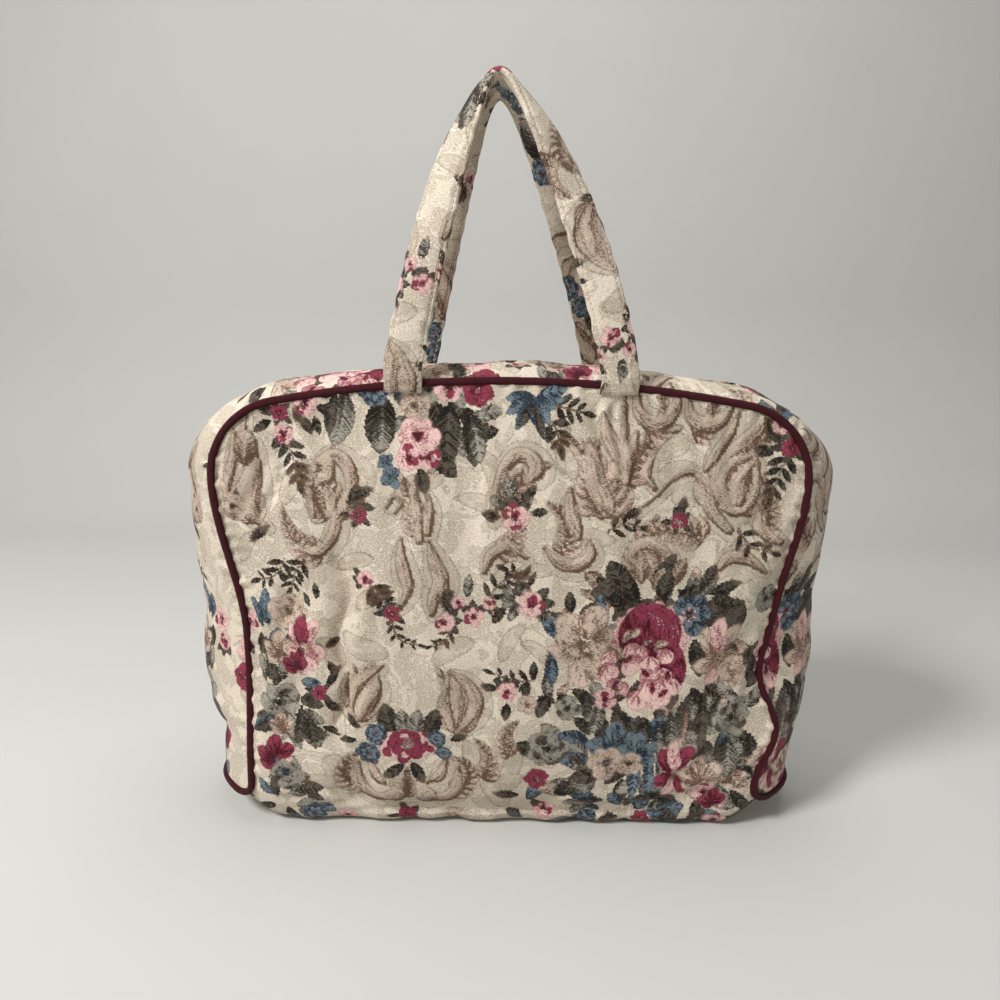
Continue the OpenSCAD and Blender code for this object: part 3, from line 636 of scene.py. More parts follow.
    def peony(self, x, z, r, seed):
        """A full flower: a wine bowl with pink streaks, and round pink petals round it."""
        rng = np.random.default_rng(seed)
        for k in range(11):
            a = math.radians(mix(185, -40, k / 10))
            fx, fz = x + 0.55 * r * math.cos(a), z + 0.5 * r + 0.38 * r * math.sin(a)
            long, turn = r * rng.uniform(0.42, 0.62), math.degrees(a) + 18
            self.petal("pink", fx, fz, long, r * 0.4, turn, (0.0, 0.8))
        self.petal("wine", x, z - 0.35 * r, r * 1.75, r * 1.7, 92, (0.0, 0.8))
        self.petal("wine", x + 0.5 * r, z + 0.3 * r, r * 1.3, r * 0.75, -82, (0.2, 0.7))
        for k in range(7):
            lean = k / 6
            top = (x + mix(-0.35, 0.66, lean) * r, z + mix(1.3, 0.9, lean) * r, 0.5)
            low = (x + mix(0.1, 0.82, lean) * r, z + mix(0.62, -0.1, lean) * r, 0.5)
            bx, bz = (top[0] + low[0]) / 2 + 0.14 * r, (top[1] + low[1]) / 2 + 0.06 * r
            self.stroke("pink", (top, (bx, bz, rng.uniform(0.7, 1.2)), low), (0.5, 1.1))
        for px, pz, turn in ((-0.72, 0.3, 70), (-0.56, 0.42, 40), (0.12, 0.2, 10)):
            self.petal("dusk", x + px * r, z + pz * r, r * 0.34, r * 0.2, turn, (0.2, 1.0))
        for px, pz, turn in ((-0.28, 0.16, 28), (0.02, 0.1, -14)):
            self.leaf("grey", x + px * r, z + pz * r, r * 0.42, r * 0.2, turn, (0.1, 0.8))
        for px, pz in PEONY_PETALS:
            size, turn = r * rng.uniform(0.44, 0.62), rng.uniform(-130, -50)
            wide = size * rng.uniform(0.8, 1.1)
            self.petal("pink", x + px * r, z + pz * r + size * 0.4, size, wide, turn, (0.0, 1.3))
        for px, pz in PEONY_CREASES:
            turn = rng.uniform(200, 320)
            self.leaf("wine", x + px * r, z + pz * r, r * 0.32, r * 0.12, turn, (0.0, 0.6))


# Petals of the full flower, and the creases between them, as shares of its size
PEONY_PETALS = (
    (-0.95, -0.12), (-0.62, 0.06), (-0.2, -0.04), (0.4, -0.06), (-1.22, -0.5), (0.62, -0.9),
    (-1.05, -0.95), (-0.36, -0.3), (0.02, -0.3), (-0.66, -0.42), (-0.12, -0.74), (0.3, -0.62),
    (-0.62, -1.02), (-0.3, -1.3), (0.1, -1.35), (0.4, -1.2), (-0.02, -1.0), (0.3, -0.92),
)
PEONY_CREASES = (
    (0.5, -0.5), (-0.2, -0.5), (0.1, -0.86), (0.5, -1.05), (-0.8, -0.75), (-0.45, -0.1),
)

# Scrolls of the repeat as x, z and half-width in millimetres from the middle of the base
SCROLLS = (
    ((-10, 202, 1.6), (-8, 216, 2.6), (-4, 230, 3.4), (3, 238, 4.2), (11, 237, 4.4),
     (15, 230, 4.6), (11, 225, 2.6)),
    ((-3, 205, 1.0), (-3, 217, 1.6), (1, 226, 2.0), (6, 229, 1.6)),
    ((-113, 220, 1.4), (-109, 232, 2.6), (-100, 237, 3.8), (-92, 230, 4.0), (-90, 216, 3.6),
     (-96, 203, 3.2)), ((-109, 233, 2.0), (-104, 232, 3.2), (-103, 225, 3.6), (-108, 223, 2.6)),
    ((-118, 222, 0.8), (-114, 212, 2.0), (-112, 202, 1.2)),
    ((-104, 218, 0.8), (-101, 210, 2.4), (-103, 202, 1.4)),
    ((-146, 244, 1.2), (-149, 234, 4.4), (-155, 224, 3.8), (-160, 212, 2.2)),
    ((-157, 250, 0.8), (-158, 238, 2.6), (-160, 226, 2.4), (-163, 212, 1.2)),
    ((-144, 232, 1.4), (-148, 222, 5.0), (-150, 210, 5.6), (-147, 200, 3.2), (-140, 195, 1.4)),
    ((-150, 262, 0.8), (-152, 250, 1.8), (-155, 238, 1.0)),
    ((-54, 222, 1.4), (-54, 212, 2.8), (-52, 202, 3.0), (-51, 190, 2.2)),
    ((-47, 216, 0.8), (-45, 206, 2.2), (-46, 194, 1.6)),
    ((-70, 208, 0.8), (-66, 214, 1.2), (-62, 210, 1.2), (-65, 205, 0.8)),
    ((70, 273, 1.8), (72, 263, 3.2), (79, 257, 4.4), (88, 258, 4.0), (93, 266, 3.0),
     (92, 274, 1.8)),
    ((99, 270, 1.8), (102, 261, 3.4), (110, 256, 4.6), (119, 258, 3.6), (124, 266, 2.0)),
    ((52, 262, 0.8), (54, 252, 3.6), (59, 242, 4.6), (63, 231, 2.0)),
    ((64, 271, 0.8), (64, 257, 2.2), (64, 245, 2.6), (66, 234, 1.0)),
    ((71, 252, 0.8), (69, 243, 3.4), (66, 234, 3.6), (66, 224, 1.6)),
    ((44, 247, 0.8), (46, 237, 4.0), (49, 224, 5.6), (54, 213, 5.0), (58, 206, 1.8)),
    ((34, 220, 0.8), (34, 210, 3.4), (37, 199, 3.8), (40, 192, 1.2)),
    ((80, 236, 0.8), (77, 228, 2.0), (82, 220, 1.2)),
    ((143, 263, 0.8), (140, 254, 3.8), (133, 246, 5.0), (124, 236, 5.0), (119, 225, 3.6),
     (118, 213, 1.2)), ((129, 263, 0.8), (124, 250, 2.8), (117, 240, 3.4), (111, 231, 1.4)),
    ((139, 240, 1.2), (127, 233, 2.2), (121, 221, 2.4), (126, 208, 2.8), (136, 209, 2.6),
     (141, 223, 2.2), (140, 240, 1.0)), ((138, 234, 0.8), (131, 223, 3.6), (131, 213, 3.2)),
    ((70, 206, 0.7), (82, 215, 0.9), (94, 226, 1.2), (104, 229, 1.6), (111, 221, 2.6),
     (115, 208, 3.6), (126, 196, 2.6)),
    ((146, 214, 0.8), (144, 203, 2.8), (149, 193, 3.6), (158, 188, 1.8)),
    ((-98, 203, 3.0), (-102, 190, 3.6), (-110, 181, 2.6), (-121, 183, 1.4)),
    ((-62, 190, 1.0), (-62, 180, 3.0), (-60, 170, 4.2), (-58, 162, 3.2), (-61, 153, 1.6),
     (-65, 148, 0.8)),
    ((-46, 189, 1.0), (-43, 178, 3.6), (-39, 166, 4.8), (-43, 156, 3.8), (-44, 147, 1.6)),
    ((-74, 113, 0.8), (-84, 105, 3.0), (-92, 95, 4.0), (-94, 84, 2.6), (-90, 76, 0.9)),
    ((-77, 106, 0.8), (-79, 97, 4.4), (-84, 87, 4.6), (-88, 78, 1.2)),
    ((-97, 104, 0.8), (-99, 94, 1.8), (-97, 84, 1.0)),
    ((-34, 112, 0.8), (-25, 104, 3.4), (-19, 93, 4.4), (-20, 82, 3.2), (-29, 71, 1.2)),
    ((-32, 107, 0.8), (-29, 98, 3.6), (-28, 88, 4.0), (-30, 76, 1.2)),
    ((-38, 98, 0.8), (-37, 90, 2.8), (-34, 80, 1.8), (-32, 72, 0.8)),
    ((-92, 46, 1.4), (-91, 33, 3.8), (-82, 24, 4.2), (-72, 25, 4.6), (-66, 31, 3.6),
     (-70, 35, 2.0)),
    ((-30, 46, 1.4), (-30, 33, 3.8), (-38, 24, 4.2), (-48, 25, 4.6), (-53, 31, 3.6),
     (-49, 35, 2.0)), ((-85, 50, 1.4), (-81, 40, 3.2), (-75, 36, 1.6)),
    ((-70, 26, 5.6), (-69, 25, 5.8)), ((-50, 25, 6.0), (-49, 24, 6.2)),
    ((-37, 50, 1.4), (-41, 40, 3.2), (-46, 36, 1.6)),
    ((20, 186, 0.8), (28, 178, 3.2), (38, 176, 4.0), (46, 182, 3.2), (44, 190, 1.8)),
    ((96, 176, 0.8), (88, 184, 3.2), (78, 188, 3.8), (70, 182, 3.0), (74, 175, 1.6)),
    ((150, 170, 0.8), (140, 178, 3.4), (128, 180, 4.0), (120, 173, 1.8)),
    ((10, 180, 0.8), (0, 186, 2.6), (-10, 182, 3.4), (-14, 172, 1.4)),
)

# Pale shadows of the ground, as x, z, length, width and angle
SHADOWS = (
    (-146, 226, 40, 12, 100), (-130, 208, 30, 12, 60), (-104, 206, 24, 14, 80),
    (-118, 252, 26, 9, 96), (-84, 236, 22, 9, -80), (-66, 214, 30, 12, 20), (-30, 214, 34, 10, -20),
    (-16, 240, 22, 10, -70), (24, 246, 26, 9, -60), (30, 228, 26, 8, 84), (72, 240, 30, 18, 10),
    (84, 228, 30, 22, -20), (92, 214, 30, 18, 10), (102, 246, 18, 12, 40), (136, 200, 24, 12, 50),
    (-70, 120, 30, 14, 160), (-44, 116, 28, 12, 30), (-112, 128, 24, 12, -60),
    (-24, 66, 32, 12, -84), (-14, 46, 36, 16, -70), (-110, 52, 30, 16, -60), (-126, 30, 30, 12, 10),
    (6, 62, 26, 12, -110), (10, 40, 24, 14, 190), (-98, 64, 20, 8, 100), (-4, 118, 26, 9, 60),
    (8, 130, 22, 8, -40), (-88, 148, 26, 10, 30), (-100, 170, 24, 10, 20), (2, 168, 24, 9, 10),
    (128, 164, 24, 9, 20), (60, 190, 26, 10, 160), (104, 194, 28, 10, 10), (-158, 172, 22, 10, 60),
)

# Curling leaves as x, z of the foot, length, angle and how far they curl, in degrees
ACANTHUS = (
    (58, 204, 46, 100, 40), (50, 206, 36, 116, -50), (66, 222, 40, 78, -60), (78, 250, 26, 20, 120),
    (104, 250, 26, 20, 110), (118, 208, 50, 82, -60), (132, 206, 34, 60, 60),
    (-153, 198, 46, 100, -24), (-150, 196, 34, 92, 20), (-98, 202, 34, 100, 60),
    (-104, 200, 26, 130, -50), (-52, 192, 30, 96, 20), (-90, 76, 36, 100, -50),
    (-90, 78, 30, 70, 40), (-30, 72, 38, 80, 50), (-31, 74, 30, 112, -40), (-88, 30, 30, 170, -150),
    (-34, 30, 30, 10, 150), (-61, 24, 18, 90, 0), (74, 168, 34, 100, -50), (84, 166, 30, 70, 60),
    (6, 206, 32, 110, -100), (112, 190, 36, 150, 60), (30, 182, 30, 60, 90),
    (-108, 178, 32, 160, -60), (-6, 182, 28, 30, 80), (146, 192, 30, 60, 60), (-14, 40, 26, 60, 80),
    (2, 56, 24, 120, -80),
)

# Leaves as thread, x, z of the foot, length, width and angle, and their bend and teeth if not plain
PLAIN_LEAF = (0, 0.2)
LEAVES = (
    ("grey", -93, 273, 33, 17, -104, 2, 0.5), ("leaf", -98, 272, 26, 10, -100, -1, 0.4),
    ("leaf", -71, 270, 32, 22, -95, -1, 0.6), ("grey", -73, 258, 19, 14, -94, 1, 0.5),
    ("leaf", -44, 268, 28, 17, -78, 2, 0.6), ("leaf", -33, 268, 38, 19, -92, -2, 0.7),
    ("leaf", -24, 264, 34, 17, -84, 2, 0.7), ("grey", -22, 256, 24, 11, -78, 1, 0.4),
    ("leaf", -47, 239, 22, 13, -40, 1, 0.6), ("leaf", -51, 230, 15, 9, -76, 0, 0.3),
    ("leaf", -92, 210, 17, 8, 30, 1, 0.3), ("leaf", -90, 208, 14, 7, 75, 0, 0.3),
    ("leaf", -88, 209, 12, 6, -10), ("leaf", -135, 262, 13, 7, 160),
    ("leaf", -136, 256, 12, 6, 215), ("leaf", -124, 268, 12, 8, 112),
    ("leaf", -108, 269, 14, 9, 35), ("leaf", -110, 264, 12, 7, -20),
    ("leaf", -118, 258, 11, 7, -60), ("leaf", -111, 258, 10, 6, -75),
    ("leaf", -122, 262, 9, 6, -60), ("grey", 3, 212, 15, 10, 110, 0, 0.5),
    ("leaf", 7, 211, 13, 8, 55, 0, 0.4), ("grey", -1, 210, 11, 8, 160, 0, 0.4),
    ("leaf", 12, 205, 10, 6, 10), ("leaf", -6, 203, 10, 6, 170),
    ("leaf", 145, 260, 17, 10, -60, 0, 0.3), ("leaf", 150, 240, 13, 8, 170, 0, 0.3),
    ("leaf", 93, 204, 11, 7, 40), ("leaf", 98, 206, 9, 6, 80), ("leaf", 64, 204, 11, 7, 20, 0, 0.3),
    ("leaf", -34, 147, 15, 10, 96, 0, 0.4), ("leaf", -35, 147, 11, 7, 40, 0, 0.3),
    ("grey", -24, 156, 14, 7, 84), ("leaf", -67, 64, 26, 17, 104, 1, 0.5),
    ("grey", -61, 64, 22, 13, 95, 0, 0.4), ("leaf", -52, 64, 25, 14, 64, -1, 0.5),
    ("grey", -56, 64, 22, 12, 82, 0, 0.4), ("leaf", -88, 72, 11, 6, 140),
    ("leaf", -90, 64, 12, 6, 190), ("leaf", -34, 66, 11, 6, 20),
    ("leaf", -62, 48, 16, 9, 215, 0, 0.4), ("leaf", -58, 48, 17, 9, -64, 0, 0.4),
    ("leaf", -146, 110, 16, 7, 84, 0, 0.3), ("grey", -138, 98, 16, 7, 80),
    ("grey", -147, 96, 18, 7, 100), ("leaf", -109, 96, 16, 6, 58), ("leaf", -110, 89, 13, 6, -50),
    ("leaf", -117, 88, 9, 6, 215), ("leaf", -108, 122, 9, 5, 30), ("leaf", -107, 112, 8, 5, -60),
    ("leaf", -126, 82, 27, 11, -98, 2, 0.7), ("leaf", -120, 80, 25, 9, -80, -1, 0.7),
    ("grey", -130, 80, 24, 9, -112, 1, 0.5), ("leaf", -112, 70, 12, 5, -30),
    ("blue", -142, 134, 24, 11, 92, 1, 0.4), ("blue", -146, 132, 20, 8, 112, -1, 0.3),
    ("leaf", -148, 128, 15, 8, -96, 0, 0.3), ("leaf", -112, 152, 10, 5, 96),
    ("leaf", -117, 147, 9, 4, 110), ("blue", 25, 124, 24, 10, -92, 1, 0.5),
    ("grey", 22, 110, 17, 8, -80, 0, 0.4), ("blue", 28, 132, 17, 8, 120, 0, 0.4),
    ("leaf", 36, 146, 14, 8, 92, 0, 0.3), ("leaf", 15, 106, 12, 6, 88),
    ("leaf", 12, 106, 12, 6, -100), ("leaf", -6, 100, 10, 6, 170),
    ("leaf", 0, 92, 12, 7, -96, 0, 0.3), ("leaf", 18, 96, 11, 5, -20),
    ("leaf", 30, 98, 18, 12, -60, 1, 0.5), ("leaf", 26, 98, 17, 11, -118, -1, 0.5),
    ("leaf", 38, 100, 18, 10, -30, 0, 0.4), ("grey", 54, 94, 24, 11, -100, 2, 0.4),
    ("leaf", 46, 98, 18, 9, -84, 0, 0.4), ("leaf", 84, 78, 16, 10, -110, 0, 0.4),
    ("leaf", 94, 78, 17, 9, -70, 0, 0.4), ("grey", 104, 92, 44, 9, -94, 2, 0.5),
    ("grey", 112, 96, 42, 8, -100, -2, 0.5), ("leaf", 118, 96, 38, 9, -92, 1, 0.5),
    ("grey", 98, 84, 36, 8, -88, 1, 0.4), ("dusk", 108, 88, 40, 4, -96, 1, 0.3),
    ("grey", 90, 78, 30, 7, -84, 1, 0.4), ("leaf", 116, 158, 20, 9, 22, 0, 0.4),
    ("leaf", 122, 152, 16, 7, 4, 0, 0.4), ("leaf", 112, 162, 16, 8, 60, 0, 0.3),
    ("leaf", 76, 150, 24, 12, 112, 1, 0.5), ("leaf", 88, 152, 22, 12, 76, 0, 0.5),
    ("leaf", 66, 150, 20, 10, 130, 0, 0.5), ("leaf", 58, 152, 18, 9, 96, 0, 0.4),
    ("blue", 56, 140, 20, 8, 100, 0, 0.3), ("grey", 114, 136, 20, 12, -40, 0, 0.5),
    ("leaf", 110, 130, 24, 13, -80, 0, 0.5), ("grey", 120, 130, 18, 10, -86, 0, 0.4),
    ("leaf", 150, 66, 24, 10, -84, 1, 0.5), ("grey", 136, 66, 30, 9, -92, 1, 0.4),
    ("leaf", 128, 92, 18, 9, -100, 0, 0.4), ("blue", 86, 58, 36, 8, -88, 1, 0.5),
    ("blue", 80, 54, 34, 7, -96, 1, 0.4), ("grey", 92, 56, 34, 7, -84, 1, 0.4),
    ("leaf", 126, 26, 20, 9, 240, 0, 0.4), ("leaf", 140, 28, 22, 10, -50, 0, 0.4),
    ("leaf", 96, 28, 20, 10, 200, 0, 0.4), ("leaf", 90, 26, 18, 10, -20, 0, 0.4),
    ("leaf", 8, 26, 16, 8, 170, 0, 0.3), ("leaf", 30, 28, 18, 8, 10, 0, 0.3),
    ("blue", 40, 26, 20, 9, -10, 0, 0.4), ("leaf", 60, 24, 20, 9, 190, 0, 0.4),
    ("leaf", -146, 36, 20, 10, 40, 0, 0.5), ("blue", -140, 34, 18, 9, 70, 0, 0.4),
    ("leaf", -130, 26, 18, 9, 10, 0, 0.4), ("leaf", -160, 198, 18, 8, 80, 0, 0.3),
    ("leaf", -150, 186, 14, 7, 40, 0, 0.3), ("taupe", -152, 230, 20, 15, 78, 1, 0.3),
)

# Sprigs as the points of a stem, its pairs of leaves and their size
SPRIGS = (
    (((-128, 246), (-124, 236), (-120, 222)), 4, 10), (((158, 240), (155, 230), (151, 216)), 4, 11),
    (((24, 266), (32, 264), (40, 262)), 3, 10), (((22, 258), (26, 252), (28, 244)), 3, 10),
    (((-79, 163), (-74, 157), (-69, 150)), 4, 9),
    (((-67, 141), (-65, 133), (-60, 128), (-53, 127)), 4, 6),
    (((-33, 137), (-37, 130), (-44, 127)), 3, 6), (((-12, 154), (-6, 164), (2, 168)), 3, 9),
    (((-130, 176), (-136, 166), (-146, 162)), 4, 9),
    (((-118, 176), (-124, 168), (-128, 158)), 4, 9), (((56, 196), (66, 200), (74, 198)), 3, 8),
    (((15, 106), (4, 106), (-8, 110)), 3, 8), (((132, 196), (140, 186), (152, 182)), 3, 9),
    (((12, 160), (8, 168), (0, 172)), 3, 9),
)

# Patches of foliage as x, z, half-sizes, number of leaves, their size and threads
BOWERS = (
    (-40, 258, 22, 17, 22, 17, ("leaf", "grey")),
    (104, 118, 34, 38, 58, 19, ("leaf", "leaf", "grey", "leaf", "dusk")),
    (78, 158, 26, 10, 20, 17, ("leaf", "leaf", "taupe")),
    (84, 46, 66, 30, 78, 18, ("leaf", "grey", "blue", "grey", "leaf", "dusk")),
    (136, 84, 14, 34, 26, 16, ("grey", "leaf", "leaf")),
    (44, 124, 14, 26, 16, 15, ("dusk", "grey")),
    (-134, 86, 12, 46, 30, 15, ("leaf", "grey", "leaf", "blue")),
    (80, 6, 84, 10, 44, 14, ("leaf", "grey", "blue", "leaf")),
    (-140, 16, 24, 12, 16, 14, ("leaf", "blue", "grey")),
    (14, 152, 16, 8, 10, 12, ("leaf", "grey")),
)

# Flowers as kind, x, z and size, later ones over earlier ones
FLOWERS = (
    ("bluebell", -77, 273, 9), ("bluebell", -61, 276, 8), ("grey rose", -46, 274, 8),
    ("pink rose", -35, 275, 8), ("wine rose", -19, 273, 9), ("dusk rose", -54, 265, 9),
    ("pink rose", -52, 248, 12), ("pink rose", -57, 236, 8), ("pink rose", -46, 236, 7),
    ("wine bud", -86, 203, 5), ("violet", -70, 233, 4), ("violet", -67, 224, 5),
    ("bud", -116, 265, 7), ("wine bud", -131, 260, 5), ("bud", -129, 248, 6),
    ("blue spray", 13, 271, 19), ("bud", 3, 203, 8), ("wine bud", 97, 201, 5), ("bud", 154, 256, 6),
    ("wine bud", 160, 243, 6), ("dusk rose", -130, 143, 12), ("dusk petals", -136, 120, 13),
    ("iris", -121, 122, 16), ("wine petals", -128, 110, 10), ("grey rose", -139, 84, 12),
    ("dusk petals", -138, 70, 9), ("wine bud", -113, 93, 5), ("wine petals", -142, 52, 13),
    ("grey rose", -136, 38, 10), ("bud", -82, 166, 5), ("wine bud", -67, 146, 5),
    ("bud", -37, 141, 6), ("bud", -20, 144, 6), ("bud", -29, 153, 4), ("bud", -11, 153, 4),
    ("pink rose", -69, 61, 9), ("pink rose", -50, 61, 9), ("wine rose", -60, 60, 12),
    ("grey rose", -60, 61, 5), ("bluebell", -79, 68, 7), ("bluebell", -84, 54, 8),
    ("bluebell", -42, 66, 6), ("bluebell", -38, 56, 5), ("bud", 13, 152, 8), ("bud", 0, 99, 6),
    ("dusk rose", 12, 91, 6), ("grey rose", 36, 88, 8), ("grey rose", 25, 61, 14),
    ("tall dusk rose", 44, 128, 18), ("blue petals", 67, 64, 20), ("blue petals", 80, 58, 14),
    ("dusk rose", 61, 50, 12), ("dusk rose", 75, 48, 9), ("wine rose", 19, 38, 8),
    ("bluebell", 106, 145, 13), ("dusk iris", 126, 118, 19), ("dusk rose", 136, 106, 9),
    ("grey rose", 137, 78, 13), ("peony", 84, 122, 22), ("bud", 58, 94, 7),
    ("wine iris", 104, 42, 17), ("dusk petals", 120, 42, 15), ("pink rose", 124, 26, 9),
    ("wine petals", 130, 22, 9), ("pink rose", 132, 4, 8), ("wine rose", 86, 4, 7),
    ("pink rose", 24, 12, 7), ("bluebell", -120, 8, 8), ("bluebell", 50, 4, 8),
    ("pink rose", -100, 4, 7), ("dusk rose", -30, 2, 9), ("wine bud", -62, 6, 6),
    ("grey rose", 154, 152, 9), ("pink rose", 160, 118, 10), ("wine rose", 162, 100, 9),
    ("dusk rose", -160, 206, 8), ("dusk rose", 158, 48, 9), ("pink rose", -158, 134, 8),
    ("bud", -162, 120, 6),
)


def draw_flower(weave, kind, x, z, r, seed):
    """One flower of the repeat."""
    if kind == "bluebell":
        weave.bluebell(x, z, r, seed)
    elif kind == "violet":
        for a in (60, 130, 200, 300):
            weave.petal("blue", x, z, r * 1.3, r * 1.1, a, (0.3, 1.0))
    elif kind == "bud":
        weave.bud(x, z, r, 90 * (seed % 4), seed)
    elif kind == "wine bud":
        weave.fan("leaf", x, z, r * 1.9, r * 0.7, 40, 320, 5, (0.1, 0.5))
        weave.rose("wine", x, z, r, seed, "pink", (0.1, 1.0))
    elif kind == "blue spray":
        weave.fan("blue", x, z, r, r * 0.36, -175, -60, 5, (0.0, 0.9))
        weave.fan("leaf", x, z - 3, r * 1.15, r * 0.3, -120, -75, 2, (0.0, 0.6))
        weave.fan("blue", x + 2, z, r * 0.8, r * 0.4, -35, 15, 3, (0.1, 0.9))
    elif kind.endswith("petals"):
        thread = kind.split()[0]
        other = {"blue": "blue", "wine": "pink", "dusk": "taupe"}[thread]
        for k, (a, s) in enumerate(((195, 0.8), (-12, 0.8), (150, 1.0), (95, 1.15), (40, 1.05))):
            here = other if k == 1 else thread
            weave.petal(here, x, z - r * 0.4, r * s, r * 0.7, a, (-0.1, 1.0), bend=r * 0.05)
    elif kind.endswith("iris"):
        threads = {"wine iris": ("wine", "pink"), "dusk iris": ("dusk", "pink")}
        outer, inner = threads.get(kind, ("pink", "wine"))
        spread = ((120, 1.1), (62, 1.2), (92, 1.3), (200, 0.9), (-24, 0.9), (250, 1.0), (290, 1.0))
        for k, (a, s) in enumerate(spread):
            thread = inner if k in (2, 5) else outer
            weave.petal(thread, x, z, r * s, r * 0.55, a, (-0.1, 1.1), bend=r * 0.08)
        for a in (70, 105, 255):
            weave.leaf(inner, x, z, r * 0.8, r * 0.16, a, (0.2, 0.9))
        weave.ball("dusk", x, z, r * 0.16, (0.2, 0.6))
    elif kind == "peony":
        weave.peony(x, z, r, seed)
    else:
        thread = kind.split()[-2]
        heart = {"pink": "wine", "dusk": "taupe", "grey": "leaf", "wine": "pink"}[thread]
        weave.rose(thread, x, z, r, seed, heart, tall=1.5 if kind.startswith("tall") else 1.0)


def tapestry(u, v):
    """All figures of the cloth at places u, v in millimetres, as point fields of three channels."""
    weave = Weave(u, v)
    for x, z, long, wide, angle in SHADOWS:
        weave.petal("line", x, z, long, wide, angle, (1.3, 1.6), bend=2.0)
    for path in SCROLLS:
        weave.stroke("line", [(x + 1.5, z - 1.5, 1.7 * r + 1.6) for x, z, r in path], (1.3, 1.5))
    for leaf in ACANTHUS:
        weave.acanthus(*leaf)
    for path in SCROLLS:
        weave.stroke("taupe", path)
    for k, (x, z, rx, rz, count, size, threads) in enumerate(BOWERS):
        weave.bower(x, z, rx, rz, count, size, threads, k + 301)
    for thread, x, z, long, wide, angle, *edge in LEAVES:
        weave.leaf(thread, x, z, long, wide * 0.8, angle, (-0.1, 0.75), *(edge or PLAIN_LEAF))
    for path, pairs, size in SPRIGS:
        weave.sprig(path, pairs, size)
    for k, (kind, x, z, r) in enumerate(FLOWERS):
        draw_flower(weave, kind, x, z, r, k + 11)
    far = np.clip(weave.far, -6, 6)
    return {
        "figures_a": far[0:3].T,
        "figures_b": far[3:6].T,
        "figures_c": np.column_stack([far[6], far[7], weave.tone]),
        "grain": weave.grain,
        "thread": np.column_stack([weave.u, weave.v, np.zeros_like(weave.u)]),
    }


# --- Meshes ---


def outward(grid):
    """Unit normals of a grid, by its rows and columns."""
    n = np.cross(np.gradient(grid, axis=0), np.gradient(grid, axis=1))
    return n / np.maximum(1e-9, np.linalg.norm(n, axis=-1, keepdims=True))


def run_along(grid, axis):
    """Distance along the rows or columns of a grid."""
    step = np.linalg.norm(np.diff(grid, axis=axis), axis=-1)
    return np.concatenate([np.zeros_like(np.take(step, [0], axis)), np.cumsum(step, axis)], axis)


def line_run(points):
    """Distance along a line of points."""
    return np.concatenate([[0], np.cumsum(np.linalg.norm(np.diff(points, axis=0), axis=1))])


def along_line(d, run, values):
    """Vectors given along a line, at distances d."""
    return np.stack([np.interp(d, run, values[:, i]) for i in range(3)], -1)


def thread_field(across, along):
    """Places on a cloth as the field that its threads follow."""
    return {"thread": np.stack([across, along, 0 * across], -1).reshape(-1, 3)}


def quads(rows, cols, round_rows=False, round_cols=False):
    """Faces of a grid, closed on itself where asked."""
    r = np.arange(rows if round_rows else rows - 1)
    c = np.arange(cols if round_cols else cols - 1)
    r, c = np.meshgrid(r, c, indexing="ij")
    r1, c1 = (r + 1) % rows, (c + 1) % cols
    return np.stack([r * cols + c, r1 * cols + c, r1 * cols + c1, r * cols + c1], -1).reshape(-1, 4)


def piece(name, verts, faces, material, fields=None, turn=False):
    """A smooth mesh object from points in millimetres, with its cloth fields."""
    faces = np.asarray(faces)
    mesh = bpy.data.meshes.new(name)
    if turn:
        faces = faces[:, ::-1]
    mesh.from_pydata((np.asarray(verts).reshape(-1, 3) / 1000).tolist(), [], faces.tolist())
    for key, values in (fields or {}).items():
        layer = mesh.attributes.new(key, "FLOAT_VECTOR", "POINT")
        layer.data.foreach_set("vector", np.ascontiguousarray(values, np.float32).ravel())
    mesh.polygons.foreach_set("use_smooth", np.ones(len(mesh.polygons), bool))
    if material:
        mesh.materials.append(material)
    mesh.update()
    obj = bpy.data.objects.new(name, mesh)
    bpy.context.scene.collection.objects.link(obj)
    return obj


def own(obj, slot, *nodes):
    """Puts a piece on the bag, in place of its solids. The slot is not used."""
    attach(obj, "bag")
    if nodes:
        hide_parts(*nodes)


def flat_area(grid):
    """Area of a smooth grid in square metres: the cut before it creases."""
    a, b = grid[1:, 1:] - grid[:-1, :-1], grid[1:, :-1] - grid[:-1, 1:]
    return float(np.linalg.norm(np.cross(a, b), axis=-1).sum()) / 2e6


def stitch_row(points, up, pitch, share=0.68, thick=0.32):
    """Stitches along a line that lies on the cloth: small bent threads, as points and faces."""
    run, parts = line_run(points), []
    ring = np.linspace(0, 2 * np.pi, 6, endpoint=False)
    arch = np.array([-0.5, 0.45, 0.75, 0.75, 0.45, -0.5])[:, None] * thick
    size = np.array([0.55, 0.95, 1, 1, 0.95, 0.55])[:, None] * thick
    for k in range(int(run[-1] // pitch)):
        d = pitch * (k + 0.5) + np.linspace(-0.5, 0.5, len(arch)) * pitch * share
        mid, lift = along_line(d, run, points), unit(along_line(d, run, up))
        side = np.cross(unit(mid[-1] - mid[0]), lift)
        grid = mid[:, None] + lift[:, None] * (arch + size * np.sin(ring))[..., None]
        grid = grid + side[:, None] * (size * np.cos(ring))[..., None]
        parts.append((grid, quads(len(arch), len(ring), round_cols=True)))
    return join_parts(parts)


def join_parts(parts):
    """Several sets of points and faces as one."""
    verts, faces, base = [], [], 0
    for v, f in parts:
        verts.append(np.asarray(v).reshape(-1, 3))
        faces.append(np.asarray(f) + base)
        base += len(verts[-1])
    return np.concatenate(verts), np.concatenate(faces)


